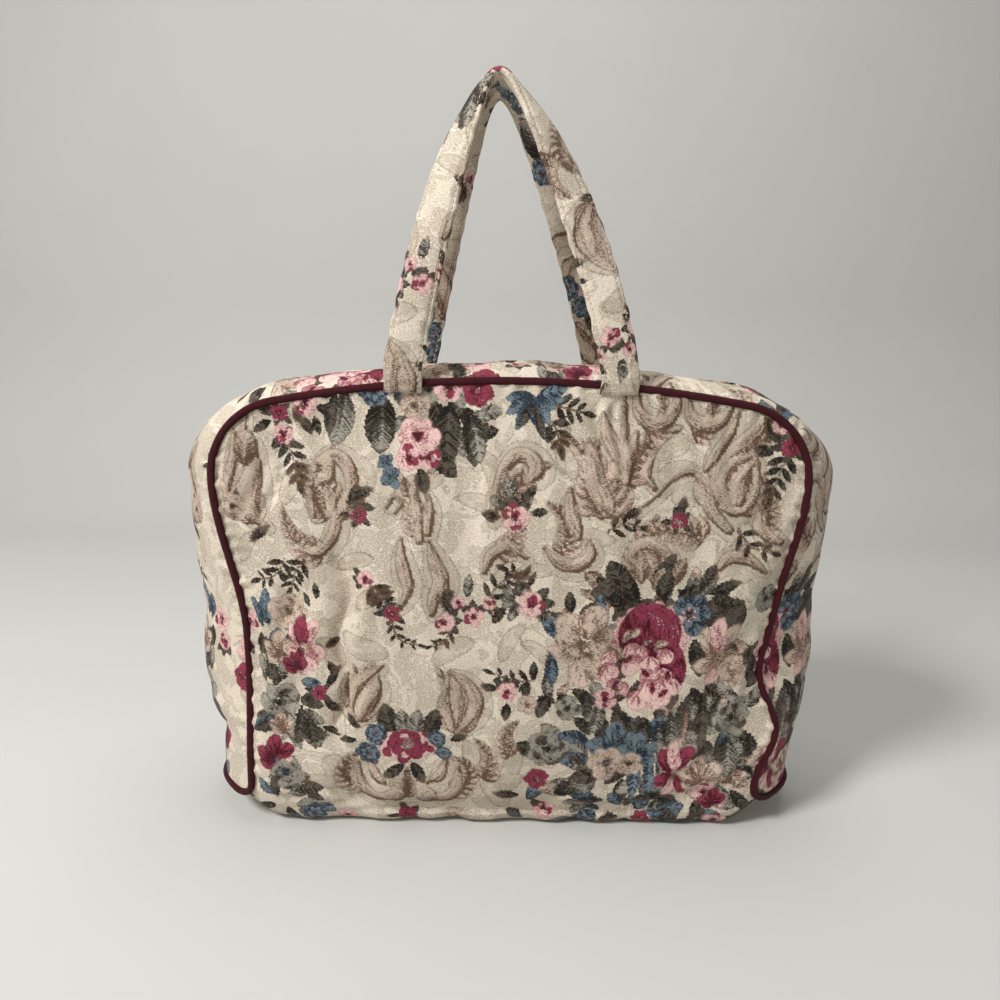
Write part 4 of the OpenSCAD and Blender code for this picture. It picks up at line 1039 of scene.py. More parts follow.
def settle(grid, held, growth, padding, frames=30):
    """Lets a grid of cloth buckle under its weight and padding while its seams hold it.

    Returns how far each point moved, in millimetres.
    """
    scene = bpy.context.scene
    obj = piece("settling", grid, quads(*grid.shape[:2]), None)
    group = obj.vertex_groups.new(name="held")
    level = np.round(held.ravel() * 10).astype(int)
    for step in np.unique(level[level > 0]):
        group.add(np.nonzero(level == step)[0].tolist(), step / 10, "REPLACE")
    cloth = obj.modifiers.new("cloth", "CLOTH")
    rules = cloth.settings
    rules.quality, rules.mass, rules.air_damping = 7, 0.2, 3.0
    rules.tension_stiffness = rules.compression_stiffness = 25
    rules.shear_stiffness, rules.bending_stiffness = 10, 2.0
    rules.vertex_group_mass, rules.pin_stiffness = group.name, 1.0
    rules.shrink_min, rules.effector_weights.gravity = -growth, 0.3
    rules.use_pressure, rules.uniform_pressure_force = True, padding
    cloth.collision_settings.use_collision = False
    cloth.point_cache.frame_start, cloth.point_cache.frame_end = 1, frames
    for k in range(1, frames + 1):
        scene.frame_set(k)
    mesh = obj.evaluated_get(bpy.context.evaluated_depsgraph_get()).to_mesh()
    moved = np.zeros(3 * len(mesh.vertices), np.float32)
    mesh.vertices.foreach_get("co", moved)
    scene.frame_set(1)
    old = obj.data
    bpy.data.objects.remove(obj)
    bpy.data.meshes.remove(old)
    return moved.reshape(grid.shape) * 1000 - grid


def soften(field, times):
    """Evens out a field over a grid."""
    for _ in range(times):
        field = np.pad(field, 1, mode="edge")
        field = (field[:-2] + 2 * field[1:-1] + field[2:]) / 4
        field = (field[:, :-2] + 2 * field[:, 1:-1] + field[:, 2:]) / 4
    return field


def wrinkles(grid, moved, limit):
    """The folds in how a cloth moved, without its general sag, outwards in millimetres."""
    out = np.sum(moved * outward(grid), axis=-1)
    return limit * np.tanh((out - soften(out, 45)) / limit)


def spread(coarse, rows, cols):
    """A coarse field at row and column places, drawn out evenly over a fine grid."""
    half = np.array([np.interp(cols[1], cols[0], line) for line in coarse])
    return soften(np.array([np.interp(rows[1], rows[0], line) for line in half.T]).T, 3)


# --- Materials ---


class Finish:
    """A node material under construction."""

    def __init__(self, name):
        self.material = bpy.data.materials.new(name)
        self.material.use_nodes = True
        self.tree = self.material.node_tree
        self.shader = self.tree.nodes["Principled BSDF"]

    def add(self, kind, values=(), out=0, **settings):
        node = self.tree.nodes.new(kind)
        for key, value in settings.items():
            setattr(node, key, value)
        for key, value in dict(values).items():
            if isinstance(value, bpy.types.NodeSocket):
                self.tree.links.new(value, node.inputs[key])
            else:
                node.inputs[key].default_value = value
        return node.outputs[out]

    def math(self, operation, a, b=0.0, c=0.0):
        return self.add("ShaderNodeMath", {0: a, 1: b, 2: c}, operation=operation)

    def step(self, value, low, high):
        """0 at low, 1 at high, smooth between."""
        values = {"Value": value, "From Min": low, "From Max": high, "To Min": 0.0, "To Max": 1.0}
        return self.add("ShaderNodeMapRange", values, interpolation_type="SMOOTHSTEP")

    def mix(self, factor, a, b, blend="MIX"):
        values = {0: factor, 6: a, 7: b}
        return self.add("ShaderNodeMix", values, out=2, data_type="RGBA", blend_type=blend)

    def noise(self, where, scale, detail=2.0, rough=0.5, stretch=None, twist=0.0):
        if stretch:
            where = self.add("ShaderNodeVectorMath", {0: where, 1: stretch}, operation="MULTIPLY")
        values = {"Vector": where, "Scale": scale, "Detail": detail}
        return self.add("ShaderNodeTexNoise", {**values, "Roughness": rough, "Distortion": twist})

    def field(self, name):
        """A stored field as its vector and its three channels."""
        vector = self.add("ShaderNodeAttribute", out=1, attribute_name=name)
        node = self.tree.nodes.new("ShaderNodeSeparateXYZ")
        self.tree.links.new(vector, node.inputs[0])
        return vector, node.outputs

    def bump(self, height, distance, strength):
        values = {"Height": height, "Distance": distance, "Strength": strength}
        self.tree.links.new(self.add("ShaderNodeBump", values), self.shader.inputs["Normal"])

    def set(self, **values):
        for key, value in values.items():
            socket = self.shader.inputs[key.replace("_", " ")]
            if isinstance(value, bpy.types.NodeSocket):
                self.tree.links.new(value, socket)
            else:
                socket.default_value = value
        return self.material


RIB_PITCH, FLOAT_PITCH, PIPING_PITCH = 0.95, 1.15, 0.8


def shaded(tint, share):
    """A colour made darker or lighter."""
    return [v * share for v in tint[:3]] + [1.0]


def tapestry_finish(name, c):
    """Jacquard cloth: a cream ground and figures in mixed threads, with the weave as relief."""
    f = Finish(name)
    thread, (across, along, _) = f.field("thread")
    channels = [*f.field("figures_a")[1], *f.field("figures_b")[1], *f.field("figures_c")[1]]
    tone = channels.pop()
    grain = f.field("grain")[0]
    ragged = f.math("MULTIPLY", f.math("SUBTRACT", f.noise(thread, 0.9, 2.0), 0.5), 2.3)
    speck = f.noise(thread, 0.95, 2.0, 0.65, stretch=(1.0, 1.9, 1.0))
    hatch = f.noise(thread, 1.1, 1.0, 0.5, stretch=(0.55, 1.7, 1.0))
    streak = f.noise(grain, 1.0, 2.0, 0.55, stretch=(0.16, 0.62, 1.0))
    blend = f.math("MULTIPLY_ADD", f.math("SUBTRACT", hatch, 0.5), 2.2, tone)
    blend = f.math("MULTIPLY_ADD", f.math("SUBTRACT", streak, 0.5), 3.0, blend)
    blend = f.step(blend, 0.12, 0.92)
    # Ground: two cream threads, with faint cloudy shapes and thin outlines round them
    cloud = f.noise(thread, 0.05, 2.0, 0.55, twist=1.6)
    shape = f.step(cloud, 0.48, 0.54)
    light = f.step(f.math("MULTIPLY_ADD", shape, 0.14, speck), 0.40, 0.70)
    shade = f.math("MULTIPLY", f.math("SUBTRACT", 1.0, light), 0.75)
    cloth = f.mix(shade, c.ground, c.ground_shade)
    contour = f.math("ABSOLUTE", f.math("SUBTRACT", cloud, 0.5))
    contour = f.math("MULTIPLY", f.step(contour, 0.016, 0.003), f.step(hatch, 0.36, 0.5))
    cloth = f.mix(f.math("MULTIPLY", contour, 0.3), cloth, c.taupe_dark)
    # Painted highlights: bright specks mixed into the cloth's colour in place of glints of light
    # off its threads
    painted_glint = f.step(f.noise(thread, 0.8, 1.0, 0.5, stretch=(0.7, 1.3, 1.0)), 0.56, 0.7)
    cloth = f.mix(f.math("MULTIPLY", painted_glint, 0.75), cloth, c.painted_glint)
    # Darker and lighter threads of each figure, and the colour and strength of its rim
    pairs = {
        "taupe": (c.taupe_dark, c.taupe, c.line, 0.6),
        "leaf": (c.leaf_dark, c.leaf, c.leaf_dark, 0.35),
        "grey": (c.grey_dark, c.grey, c.line, 0.6),
        "pink": (c.pink_dark, c.pink, c.wine, 0.5),
        "wine": (c.wine_dark, c.wine, c.wine_dark, 0.4),
        "blue": (c.blue_dark, c.blue, c.blue_dark, 0.5),
        "dusk": (c.dusk_dark, c.dusk, c.dusk_dark, 0.6),
    }
    woven = 0.0
    for thread_name, gap in zip(THREADS, channels):
        gap = f.math("ADD", gap, ragged)
        here = f.step(gap, 0.5, -0.1)
        if thread_name == "line":
            # Stems are dark; the pale shapes of the ground are faint, with thin dark outlines
            stem = f.step(tone, 1.2, 0.4)
            rimmed = f.math("MULTIPLY", f.step(gap, -0.9, -0.1), f.step(hatch, 0.4, 0.52))
            fill = f.mix(f.math("MAXIMUM", stem, rimmed), c.ground_shade, c.taupe_dark)
            faint = f.math("MULTIPLY_ADD", f.step(streak, 0.6, 0.42), 0.3, 0.2)
            faint = f.math("MULTIPLY_ADD", stem, 0.5, faint)
            faint = f.math("MAXIMUM", faint, f.math("MULTIPLY", rimmed, 0.7))
            here = f.math("MULTIPLY", here, faint)
        else:
            dark, light, rim, share = pairs[thread_name]
            edge = f.math("MULTIPLY", f.step(gap, -0.75, 0.25), share)
            fill = f.mix(edge, f.mix(blend, dark, light), rim)
        if thread_name == "taupe":
            # Scrolls melt into the ground where they are light
            worn = f.math("MULTIPLY_ADD", f.math("SUBTRACT", hatch, 0.5), 1.8, tone)
            worn = f.math("MULTIPLY_ADD", f.step(worn, 1.2, 0.2), 0.6, 0.4)
            here = f.math("MULTIPLY", here, worn)
        cloth = f.mix(here, cloth, fill)
        woven = f.math("MAXIMUM", woven, here)
    # Threads: fine ribs one way, floats the other
    ribs = f.math("SINE", f.math("MULTIPLY", along, 2 * math.pi / RIB_PITCH))
    floats = f.math("SINE", f.math("MULTIPLY", across, 2 * math.pi / FLOAT_PITCH))
    weave = f.math("MULTIPLY", ribs, floats)
    # Brightness that follows the ribs and floats is painted shade of the weave's relief; the
    # speckle adds random tone of the threads
    lit = f.math("MULTIPLY_ADD", weave, 0.08, f.math("MULTIPLY_ADD", speck, 0.6, 0.7))
    cloth = f.mix(1.0, cloth, f.add("ShaderNodeCombineColor", {0: lit, 1: lit, 2: lit}), "MULTIPLY")
    height = f.math("MULTIPLY_ADD", speck, 1.3, f.math("MULTIPLY", woven, 0.4))
    f.bump(f.math("MULTIPLY_ADD", weave, 0.3, height), 0.00028, 0.8)
    rough = f.math("MULTIPLY_ADD", speck, -0.25, 0.88)
    f.set(Sheen_Weight=0.04, Sheen_Roughness=0.4)
    return f.set(Base_Color=cloth, Roughness=rough, Specular_IOR_Level=0.2)


def piping_finish(name, c):
    """Bias-cut plain cloth drawn tight over a cord."""
    f = Finish(name)
    thread, (along, around, _) = f.field("thread")
    turns = 2 * math.pi / PIPING_PITCH
    ribs = f.math("SINE", f.math("MULTIPLY", f.math("ADD", along, around), turns))
    cross = f.math("SINE", f.math("MULTIPLY", f.math("SUBTRACT", along, around), turns))
    weave = f.math("MULTIPLY", ribs, cross)
    worn = f.noise(thread, 0.25, 3.0)
    # Painted highlight: a lighter copy of the piping colour on the raised ribs of the weave
    painted_rib_highlight = [min(1, v * 1.7 + 0.004) for v in c.piping[:3]] + [1.0]
    cloth = f.mix(f.step(worn, 0.3, 0.7), shaded(c.piping, 0.55), c.piping)
    cloth = f.mix(f.step(weave, 0.1, 1.2), cloth, painted_rib_highlight)
    f.bump(f.math("MULTIPLY_ADD", worn, 0.6, weave), 0.0002, 0.7)
    rough = f.math("MULTIPLY_ADD", worn, 0.2, 0.5)
    return f.set(Base_Color=cloth, Roughness=rough, Specular_IOR_Level=0.22)


def woven_finish(name, tint, pitch, rough, sheen=0.1):
    """Plain or twill cloth of one colour."""
    f = Finish(name)
    thread, (across, along, _) = f.field("thread")
    zig = f.math("PINGPONG", across, 4.0)
    twill = f.math("SINE", f.math("MULTIPLY", f.math("ADD", along, zig), 2 * math.pi / pitch))
    blot = f.noise(thread, 0.12, 3.0)
    # Lighter on the twill ridges that the bump raises: painted shade of the weave's relief, with
    # random blotches of tone
    light = f.math("MULTIPLY_ADD", blot, 0.8, f.math("MULTIPLY", twill, 0.3))
    cloth = f.mix(f.step(light, 0.0, 0.75), shaded(tint, 0.62), tint)
    f.bump(f.math("MULTIPLY_ADD", blot, 0.3, twill), 0.00018, 0.6)
    rough = f.math("MULTIPLY_ADD", blot, 0.15, rough)
    return f.set(Base_Color=cloth, Roughness=rough, Sheen_Weight=sheen)


def thread_finish(name, tint):
    """Twisted sewing thread."""
    f = Finish(name)
    where = f.add("ShaderNodeTexCoord", out=3)
    twist = f.noise(where, 1900.0, 2.0)
    f.bump(twist, 0.0001, 0.5)
    cover = f.mix(f.step(twist, 0.3, 0.65), shaded(tint, 0.6), tint)
    return f.set(Base_Color=cover, Roughness=0.62, Sheen_Weight=0.15)


def brass_finish(name, tint):
    """Brass with fine wear marks and duller hollows."""
    f = Finish(name)
    where = f.add("ShaderNodeTexCoord", out=3)
    scuff = f.noise(where, 900.0, 3.0, 0.6, stretch=(1.0, 4.0, 1.0))
    dull = f.noise(where, 160.0, 2.0)
    f.bump(scuff, 0.00003, 0.5)
    rough = f.math("MULTIPLY_ADD", dull, 0.25, 0.22)
    metal = f.mix(f.step(dull, 0.35, 0.7), shaded(tint, 0.55), tint)
    return f.set(Base_Color=metal, Metallic=1.0, Roughness=rough)


def finish(name, make, *args):
    """A material made once and shared."""
    return bpy.data.materials.get(name) or make(name, *args)


def cloth_finish():
    return finish("tapestry cloth", tapestry_finish, bpy.context.scene.bag_colours)


def stitch_finish():
    return finish("sewing thread", thread_finish, bpy.context.scene.bag_colours.stitch)


# --- Pieces ---

# How far the edge of a cloth lies inside its seam, in millimetres
EDGE = 1.0
# Where the pieces that are cut apart from the panel lie on the flat cloth, in millimetres
CLOTH_PLACES = {
    "gusset_left": (-128, 22),
    "gusset_right": (150, 22),
    "zip_strip_front": (40, 100),
    "zip_strip_back": (150, 20),
    "handle_front": (-34, 84),
    "handle_back": (-110, 30),
}


def cut_cloth(name, u, v):
    """The fields of a piece that is cut from its own place on the cloth."""
    return tapestry(u + CLOTH_PLACES[name][0], v + CLOTH_PLACES[name][1])


def seam_pucker(near, line, seed, height=0.55, reach=9.0):
    """Small gathers where the cloth is held by the seam."""
    return height * bell(near / reach) * smooth(near / 2.2) * ripple(line, seed, 7, 17)


class BAG_OT_panel(bpy.types.Operator):
    """Makes the cloth that runs down the front, under the base and up the back"""

    bl_idname = "bag.panel"
    bl_label = "Main panel"

    def execute(self, context):
        s = Shape(context.scene.bag_sizes)
        columns = (46, 262)
        tx, tz = s.outline(EDGE, *columns)
        parts = s.wrap(tx, tz, EDGE, 250, 13, 46, 176)
        front, folds, back = parts[0], parts[1], parts[-1]
        grid = np.concatenate(parts)
        split = len(front) + len(folds)
        # Places on the flat cloth: x across, and height down the front and on under the base
        v = front[-1, None, :, 2] - (run_along(grid, 0) - run_along(front, 0)[-1])
        v[: len(front)] = front[..., 2]
        x, z = grid[..., 0], grid[..., 2]
        side = s.seam_x(np.sign(x), z) - np.abs(x)
        top = s.top_height(x) - z
        face = np.zeros(grid.shape[:2])
        face[: len(front)] = 1
        face[-len(back) :] = -1
        on_face = smooth((z - 12) / 30) * (face != 0)
        near = np.minimum(side, top)
        hold = smooth(near / 16) * on_face
        line = np.where(side < top, z, x)
        move = seam_pucker(near, line, 5) * on_face
        move = move + hold * 0.9 * swell(x, z, 21, 95) + hold * 0.35 * swell(x, z, 22, 34)
        back_folds = hold * 0.7 * swell(x, z, 31, 60)
        move = move + np.where(face > 0, hold * self.front_folds(x, z), back_folds)
        # The folds along the base lie uneven on the floor
        rest = np.maximum(0, 0.9 + 0.8 * ripple(x, 12, 26, 70))
        move = move - rest * bell((np.abs(grid[..., 1]) - 42) / 8) * bell((z - 4) / 9)
        # Flat under the strap ends
        for hx in (-s.handle_span / 2, s.handle_span / 2):
            pad = smooth((np.abs(x - hx) - s.handle_w / 2 - 1) / 6)
            pad = np.maximum(pad, smooth((s.top_height(x) - z - s.handle_tail - 2) / 7))
            move = np.where(face != 0, move * pad, move)
        move[: len(front)] += self.loose(s, len(front), columns, True, 51)
        move[-len(back) :] += self.loose(s, len(back), columns, False, 52)
        grid = grid + outward(grid) * move[..., None]
        fields = tapestry(x, v)
        halves = (
            ("panel_front", slice(0, split), (0.346, 0.296)),
            ("panel_back", slice(split - 1, None), (0.366, 0.366)),
        )
        for name, rows, flat in halves:
            part = grid[rows]
            some = np.arange(x.size).reshape(x.shape)[rows].ravel()
            own_fields = {k: w[some] for k, w in fields.items()}
            obj = piece(name, part, quads(*part.shape[:2]), cloth_finish(), own_fields)
            own(obj, "tapestry", "main_panel")
        return {"FINISHED"}

    def loose(self, s, rows, columns, front, seed):
        """How the cloth of a face settles between its seams and the strap ends."""
        coarse, lines = (16, 84), 84
        tx, tz = s.outline(EDGE, *coarse)
        v = np.linspace(1, 0, lines) if front else np.linspace(0, 1, lines)
        grid = s.face(tx, tz, v, EDGE, front)
        x, z = grid[..., 0], grid[..., 2]
        near = np.minimum(s.seam_x(np.sign(x), z) - np.abs(x), s.top_height(x) - z)
        held = 1 - smooth((near - 1.5) / 5)
        held = np.maximum(held, 1 - smooth((z - s.fold_r - s.base_lift(np.abs(x) / 160)) / 5))
        for hx in (-s.handle_span / 2, s.handle_span / 2):
            beside = np.abs(x - hx) < s.handle_w / 2 + 1
            sewn = beside & (s.top_height(x) - z < s.handle_tail + 2)
            held = np.where(sewn, 1.0, held)
        start = 0.6 * swell(x, z, seed, 42)
        grid = grid + outward(grid) * start[..., None] * (1 - held)[..., None]
        moved = settle(grid, held, growth=0.016, padding=5.0)
        across = (s.outline_places(*coarse), s.outline_places(*columns))
        down = (np.linspace(0, 1, lines), np.linspace(0, 1, rows))
        return spread(wrinkles(grid, moved, limit=2.2), down, across)

    def front_folds(self, x, z):
        """The front's own folds: beside the crease, below the right handle and by the left seam."""
        bent = x + 3.5 * ripple(z, 3, 60, 130, 3)
        fade = smooth((z - 40) / 40) * (1 - smooth((z - 160) / 45))
        humps = 2.6 * bell((bent + 113) / 8) + 3.2 * bell((bent + 86) / 6.5)
        move = fade * (humps - 3.6 * bell((bent + 99) / 3.6))
        move = move - fade * (2.4 * bell((bent + 133) / 5) - 1.6 * bell((bent + 144) / 6))
        drag, lean = smooth((z - 205) / 40), 0.08 * (z - 250)
        for place, width, deep in ((50, 3.0, 2.2), (59, 2.8, 2.0), (68, 3.6, 1.7)):
            move = move - deep * drag * bell((bent - place - lean) / width)
            move = move + 0.6 * deep * drag * bell((bent - place - 5 - lean) / (width * 1.4))
        for place, width, deep in ((-150, 5.0, 2.6), (-138, 4.6, 2.2), (148, 5.0, 2.0)):
            slope = place + 0.1 * (z - 205)
            move = move - deep * bell((bent - slope) / width) * bell((z - 205) / 42)
        low = 1 - smooth((z - 20) / 55)
        return move + low * 1.9 * ripple(x, 8, 28, 70)


class BAG_OT_gussets(bpy.types.Operator):
    """Makes the two side gussets, which swell out between the piped seams"""

    bl_idname = "bag.gussets"
    bl_label = "Side gussets"

    def execute(self, context):
        s = Shape(context.scene.bag_sizes)
        end_a = s.arch_a - 0.002
        rows, cols = s.gusset_places(170, 66), 84
        for side, name in ((-1, "gusset_left"), (1, "gusset_right")):
            grid = s.gusset(side, rows, cols, EDGE, end_a)
            along, across = run_along(grid, 0), run_along(grid, 1)
            mid = across[:, -1:] / 2
            near = np.minimum(across, across[:, -1:] - across)
            hold = smooth(near / 14) * smooth(along / 22) * smooth((along[-1:] - along) / 18)
            level = along[:, cols // 2][:, None] + 0 * across
            seed = 40 + side
            move = seam_pucker(near, level, seed + 5, 0.6) * smooth(along / 14)
            folds = swell(across, level, seed, 70) + 0.4 * swell(across, level, seed + 9, 28)
            move = move + hold * folds
            for place, width, deep in ((34, 5, 1.6), (64, 7, 1.3), (118, 8, 1.1)):
                bend = level - place - side * 6 + 5 * np.sin((across - mid) / 17)
                beside = bell((across - mid - 14 * side) / 34)
                move = move - hold * deep * bell(bend / width) * beside
            normal = outward(grid) * -side
            area = flat_area(grid)
            grid = grid + normal * move[..., None]
            # The top end turns down to the zip
            _, _, ox, oz, half, _, _ = s.gusset_row(side, s.top_row, end_a)
            y = grid[-1, :, 1]
            depth = s.top_rise * (1 - np.abs(y / half) ** s.top_power) - s.tape_t - 1.5
            depth = mix(np.maximum(1.0, depth), 1.0, smooth((np.abs(y) - s.tape_w) / 8))
            turn = np.array([ox, 0.0, oz])
            hem = [grid[-1] - turn * (depth * t)[:, None] for t in np.linspace(0, 1, 7)[1:]]
            area += flat_area(np.array([grid[-1], *hem]))
            grid = np.concatenate([grid, hem])
            along, across = run_along(grid, 0), run_along(grid, 1)
            mid = across[:, -1:] / 2
            level = along[:, cols // 2][:, None] + 0 * across
            fields = cut_cloth(name, across - mid, level)
            faces = quads(*grid.shape[:2])
            obj = piece(name + "_cloth", grid, faces, cloth_finish(), fields, turn=side > 0)
            own(obj, "tapestry", name)
        return {"FINISHED"}


class BAG_OT_zip_strips(bpy.types.Operator):
    """Makes the two domed strips beside the zip, with their turned edges and stitching"""

    bl_idname = "bag.zip_strips"
    bl_label = "Zip strips"

    def execute(self, context):
        s = Shape(context.scene.bag_sizes)
        past, domed, fold = 0.0006, 36, 0.9
        a = np.linspace(-s.arch_a - past, s.arch_a + past, 262)
        share = np.linspace(1 - 0.017, s.zip_gap / s.top_depth, domed)
        for side, name in ((-1, "zip_strip_front"), (1, "zip_strip_back")):
            y = share * s.top_depth / 2
            rows = [s.on_arch(s.strip_radius(np.full_like(a, yy), a), a, side * yy) for yy in y]
            # The edge beside the zip turns under
            r = s.strip_radius(np.full_like(a, y[-1]), a)
            for t in np.linspace(0, np.pi * 0.75, 7)[1:]:
                low, inner = r - fold * (1 - math.cos(t)), y[-1] - fold * math.sin(t)
                rows.append(s.on_arch(low, a, side * inner))
            for t in np.linspace(0, 1, 6)[1:]:
                down = mix(low, s.tape_r + s.tape_t + 0.1, t)
                rows.append(s.on_arch(down, a, side * (inner + 1.6 * t)))
            grid = np.array(rows).transpose(1, 0, 2)
            across, along = run_along(grid, 1), run_along(grid, 0)
            hold = smooth(across / 10) * smooth((across[:, -1:] - across) / 9)
            move = seam_pucker(across, along, 60 + side, 0.45, 7)
            folds = 0.45 * swell(along, across, 63 + side, 46) + 0.22 * swell(along, across, 66, 17)
            move = move + hold * folds
            normal = outward(grid) * side
            over = (np.arange(grid.shape[1]) < domed)[None, :, None]
            normal = np.where((normal[..., 2:] < 0) & over, -normal, normal)
            grid = grid + normal * move[..., None]
            fields = cut_cloth(name, along, across)
            faces = quads(*grid.shape[:2])
            obj = piece(name + "_cloth", grid, faces, cloth_finish(), fields, turn=side > 0)
            own(obj, "tapestry", name)
            seam = (slice(4, -4), domed - 4)
            stitches = stitch_row(grid[seam], normal[seam], pitch=3.2)
            thread = piece(name + "_stitching", *stitches, stitch_finish())
            own(thread, "tapestry")
        return {"FINISHED"}


class BAG_OT_piping(bpy.types.Operator):
    """Makes the covered cord that runs all round the seams"""

    bl_idname = "bag.piping"
    bl_label = "Piping"

    def execute(self, context):
        s = Shape(context.scene.bag_sizes)
        path, out = s.seam_loop()
        closed = np.vstack([path, path[:1]])
        run = line_run(closed)
        count, sides = int(run[-1] / 1.5), 14
        d = np.linspace(0, run[-1], count, endpoint=False)
        mid, out = along_line(d, run, closed), along_line(d, run, np.vstack([out, out[:1]]))
        for _ in range(3):
            mid = (np.roll(mid, 1, 0) + 2 * mid + np.roll(mid, -1, 0)) / 4
            out = (np.roll(out, 1, 0) + 2 * out + np.roll(out, -1, 0)) / 4
        along = unit(np.roll(mid, -1, 0) - np.roll(mid, 1, 0))
        e1 = across_from(along, out)
        e2 = np.cross(along, e1)
        ang = np.linspace(0, 2 * np.pi, sides, endpoint=False)
        laps = [2 * np.pi * (k + 1) for k in range(6)]
        uneven = [np.sin(d / run[-1] * lap * (17 + 23 * k) + k) for k, lap in enumerate(laps)]
        twist = 0.07 * np.sin(d[:, None] * 2 * np.pi / 3.0 + ang)
        r = s.piping_d / 2 + (sum(uneven) * 0.05)[:, None] * 0.6 + twist
        verts = mid[:, None] + (r * np.cos(ang))[..., None] * e1[:, None]
        verts = verts + (r * np.sin(ang))[..., None] * e2[:, None]
        around = np.broadcast_to(ang * s.piping_d / 2, r.shape)
        fields = thread_field(np.broadcast_to(d[:, None], r.shape), around)
        faces = quads(count, sides, round_rows=True, round_cols=True)
        cover = finish("piping cloth", piping_finish, context.scene.bag_colours)
        obj = piece("piping_cord", verts, faces, cover, fields, turn=True)
        own(obj, "piping", "piping")
        return {"FINISHED"}


class BAG_OT_handles(bpy.types.Operator):
    """Makes the two padded strap handles with their edge stitching and sewn ends"""

    bl_idname = "bag.handles"
    bl_label = "Strap handles"

    def execute(self, context):
        s = Shape(context.scene.bag_sizes)
        mid, wide, thick, size = s.strap(190)
        run, sides = line_run(mid), 52
        ang = np.linspace(0, 2 * np.pi, sides, endpoint=False)
        across = np.sign(np.cos(ang)) * np.abs(np.cos(ang)) ** 0.62
        crown = np.sign(np.sin(ang)) * (1 - np.abs(across) ** 3.2) ** 0.62
        seam = 0.8
        groove = 1 - 0.42 * bell((np.abs(across) - seam) / 0.055)
        end = np.minimum(run, run[-1] - run)
        close = smooth((end + 0.02) / 1.8)
        wave = 0.22 * ripple(run, 71, 9, 24)[:, None] * np.abs(across)[None] ** 2
        lump = swell(run[:, None] + 0 * across, 11 * across[None] + 30 * (crown[None] > 0), 72, 26)
        lump = 1 + 0.07 * lump
        half = s.handle_w / 2 - 0.25
        body = size[:, None] / 2 * (crown * groove)[None] * lump * close[:, None]
        verts = mid[:, None] + wide[:, None] * (half * across[None] + wave)[..., None]
        verts = verts + thick[:, None] * body[..., None]
        girth = np.hypot(np.diff(half * across), np.diff(3 * crown))
        girth = np.concatenate([[0], np.cumsum(girth)])
        u, v = np.broadcast_to(girth[None], body.shape), np.broadcast_to(run[:, None], body.shape)
        faces, keep = quads(len(run), sides, round_cols=True), end > 2.0
        for name, flip in (("handle_front", 1), ("handle_back", -1)):
            mirror = np.array([1, flip, 1.0])
            fields = cut_cloth(name, u, v)
            cloth = cloth_finish()
            strap = piece(name + "_cloth", verts * mirror, faces, cloth, fields, turn=flip < 0)
            own(strap, "tapestry", name)
            rows = []
            for face in (-1, 1):
                for edge in (-seam, seam):
                    k = int(np.argmin((across - edge) ** 2 + (crown * face < 0) * 9.0))
                    line = verts[keep][:, k] * mirror
                    rows.append(stitch_row(line, thick[keep] * face * mirror, pitch=3.3))
            sewn = piece(name + "_stitching", *join_parts(rows), stitch_finish())
            own(sewn, "tapestry")
        return {"FINISHED"}


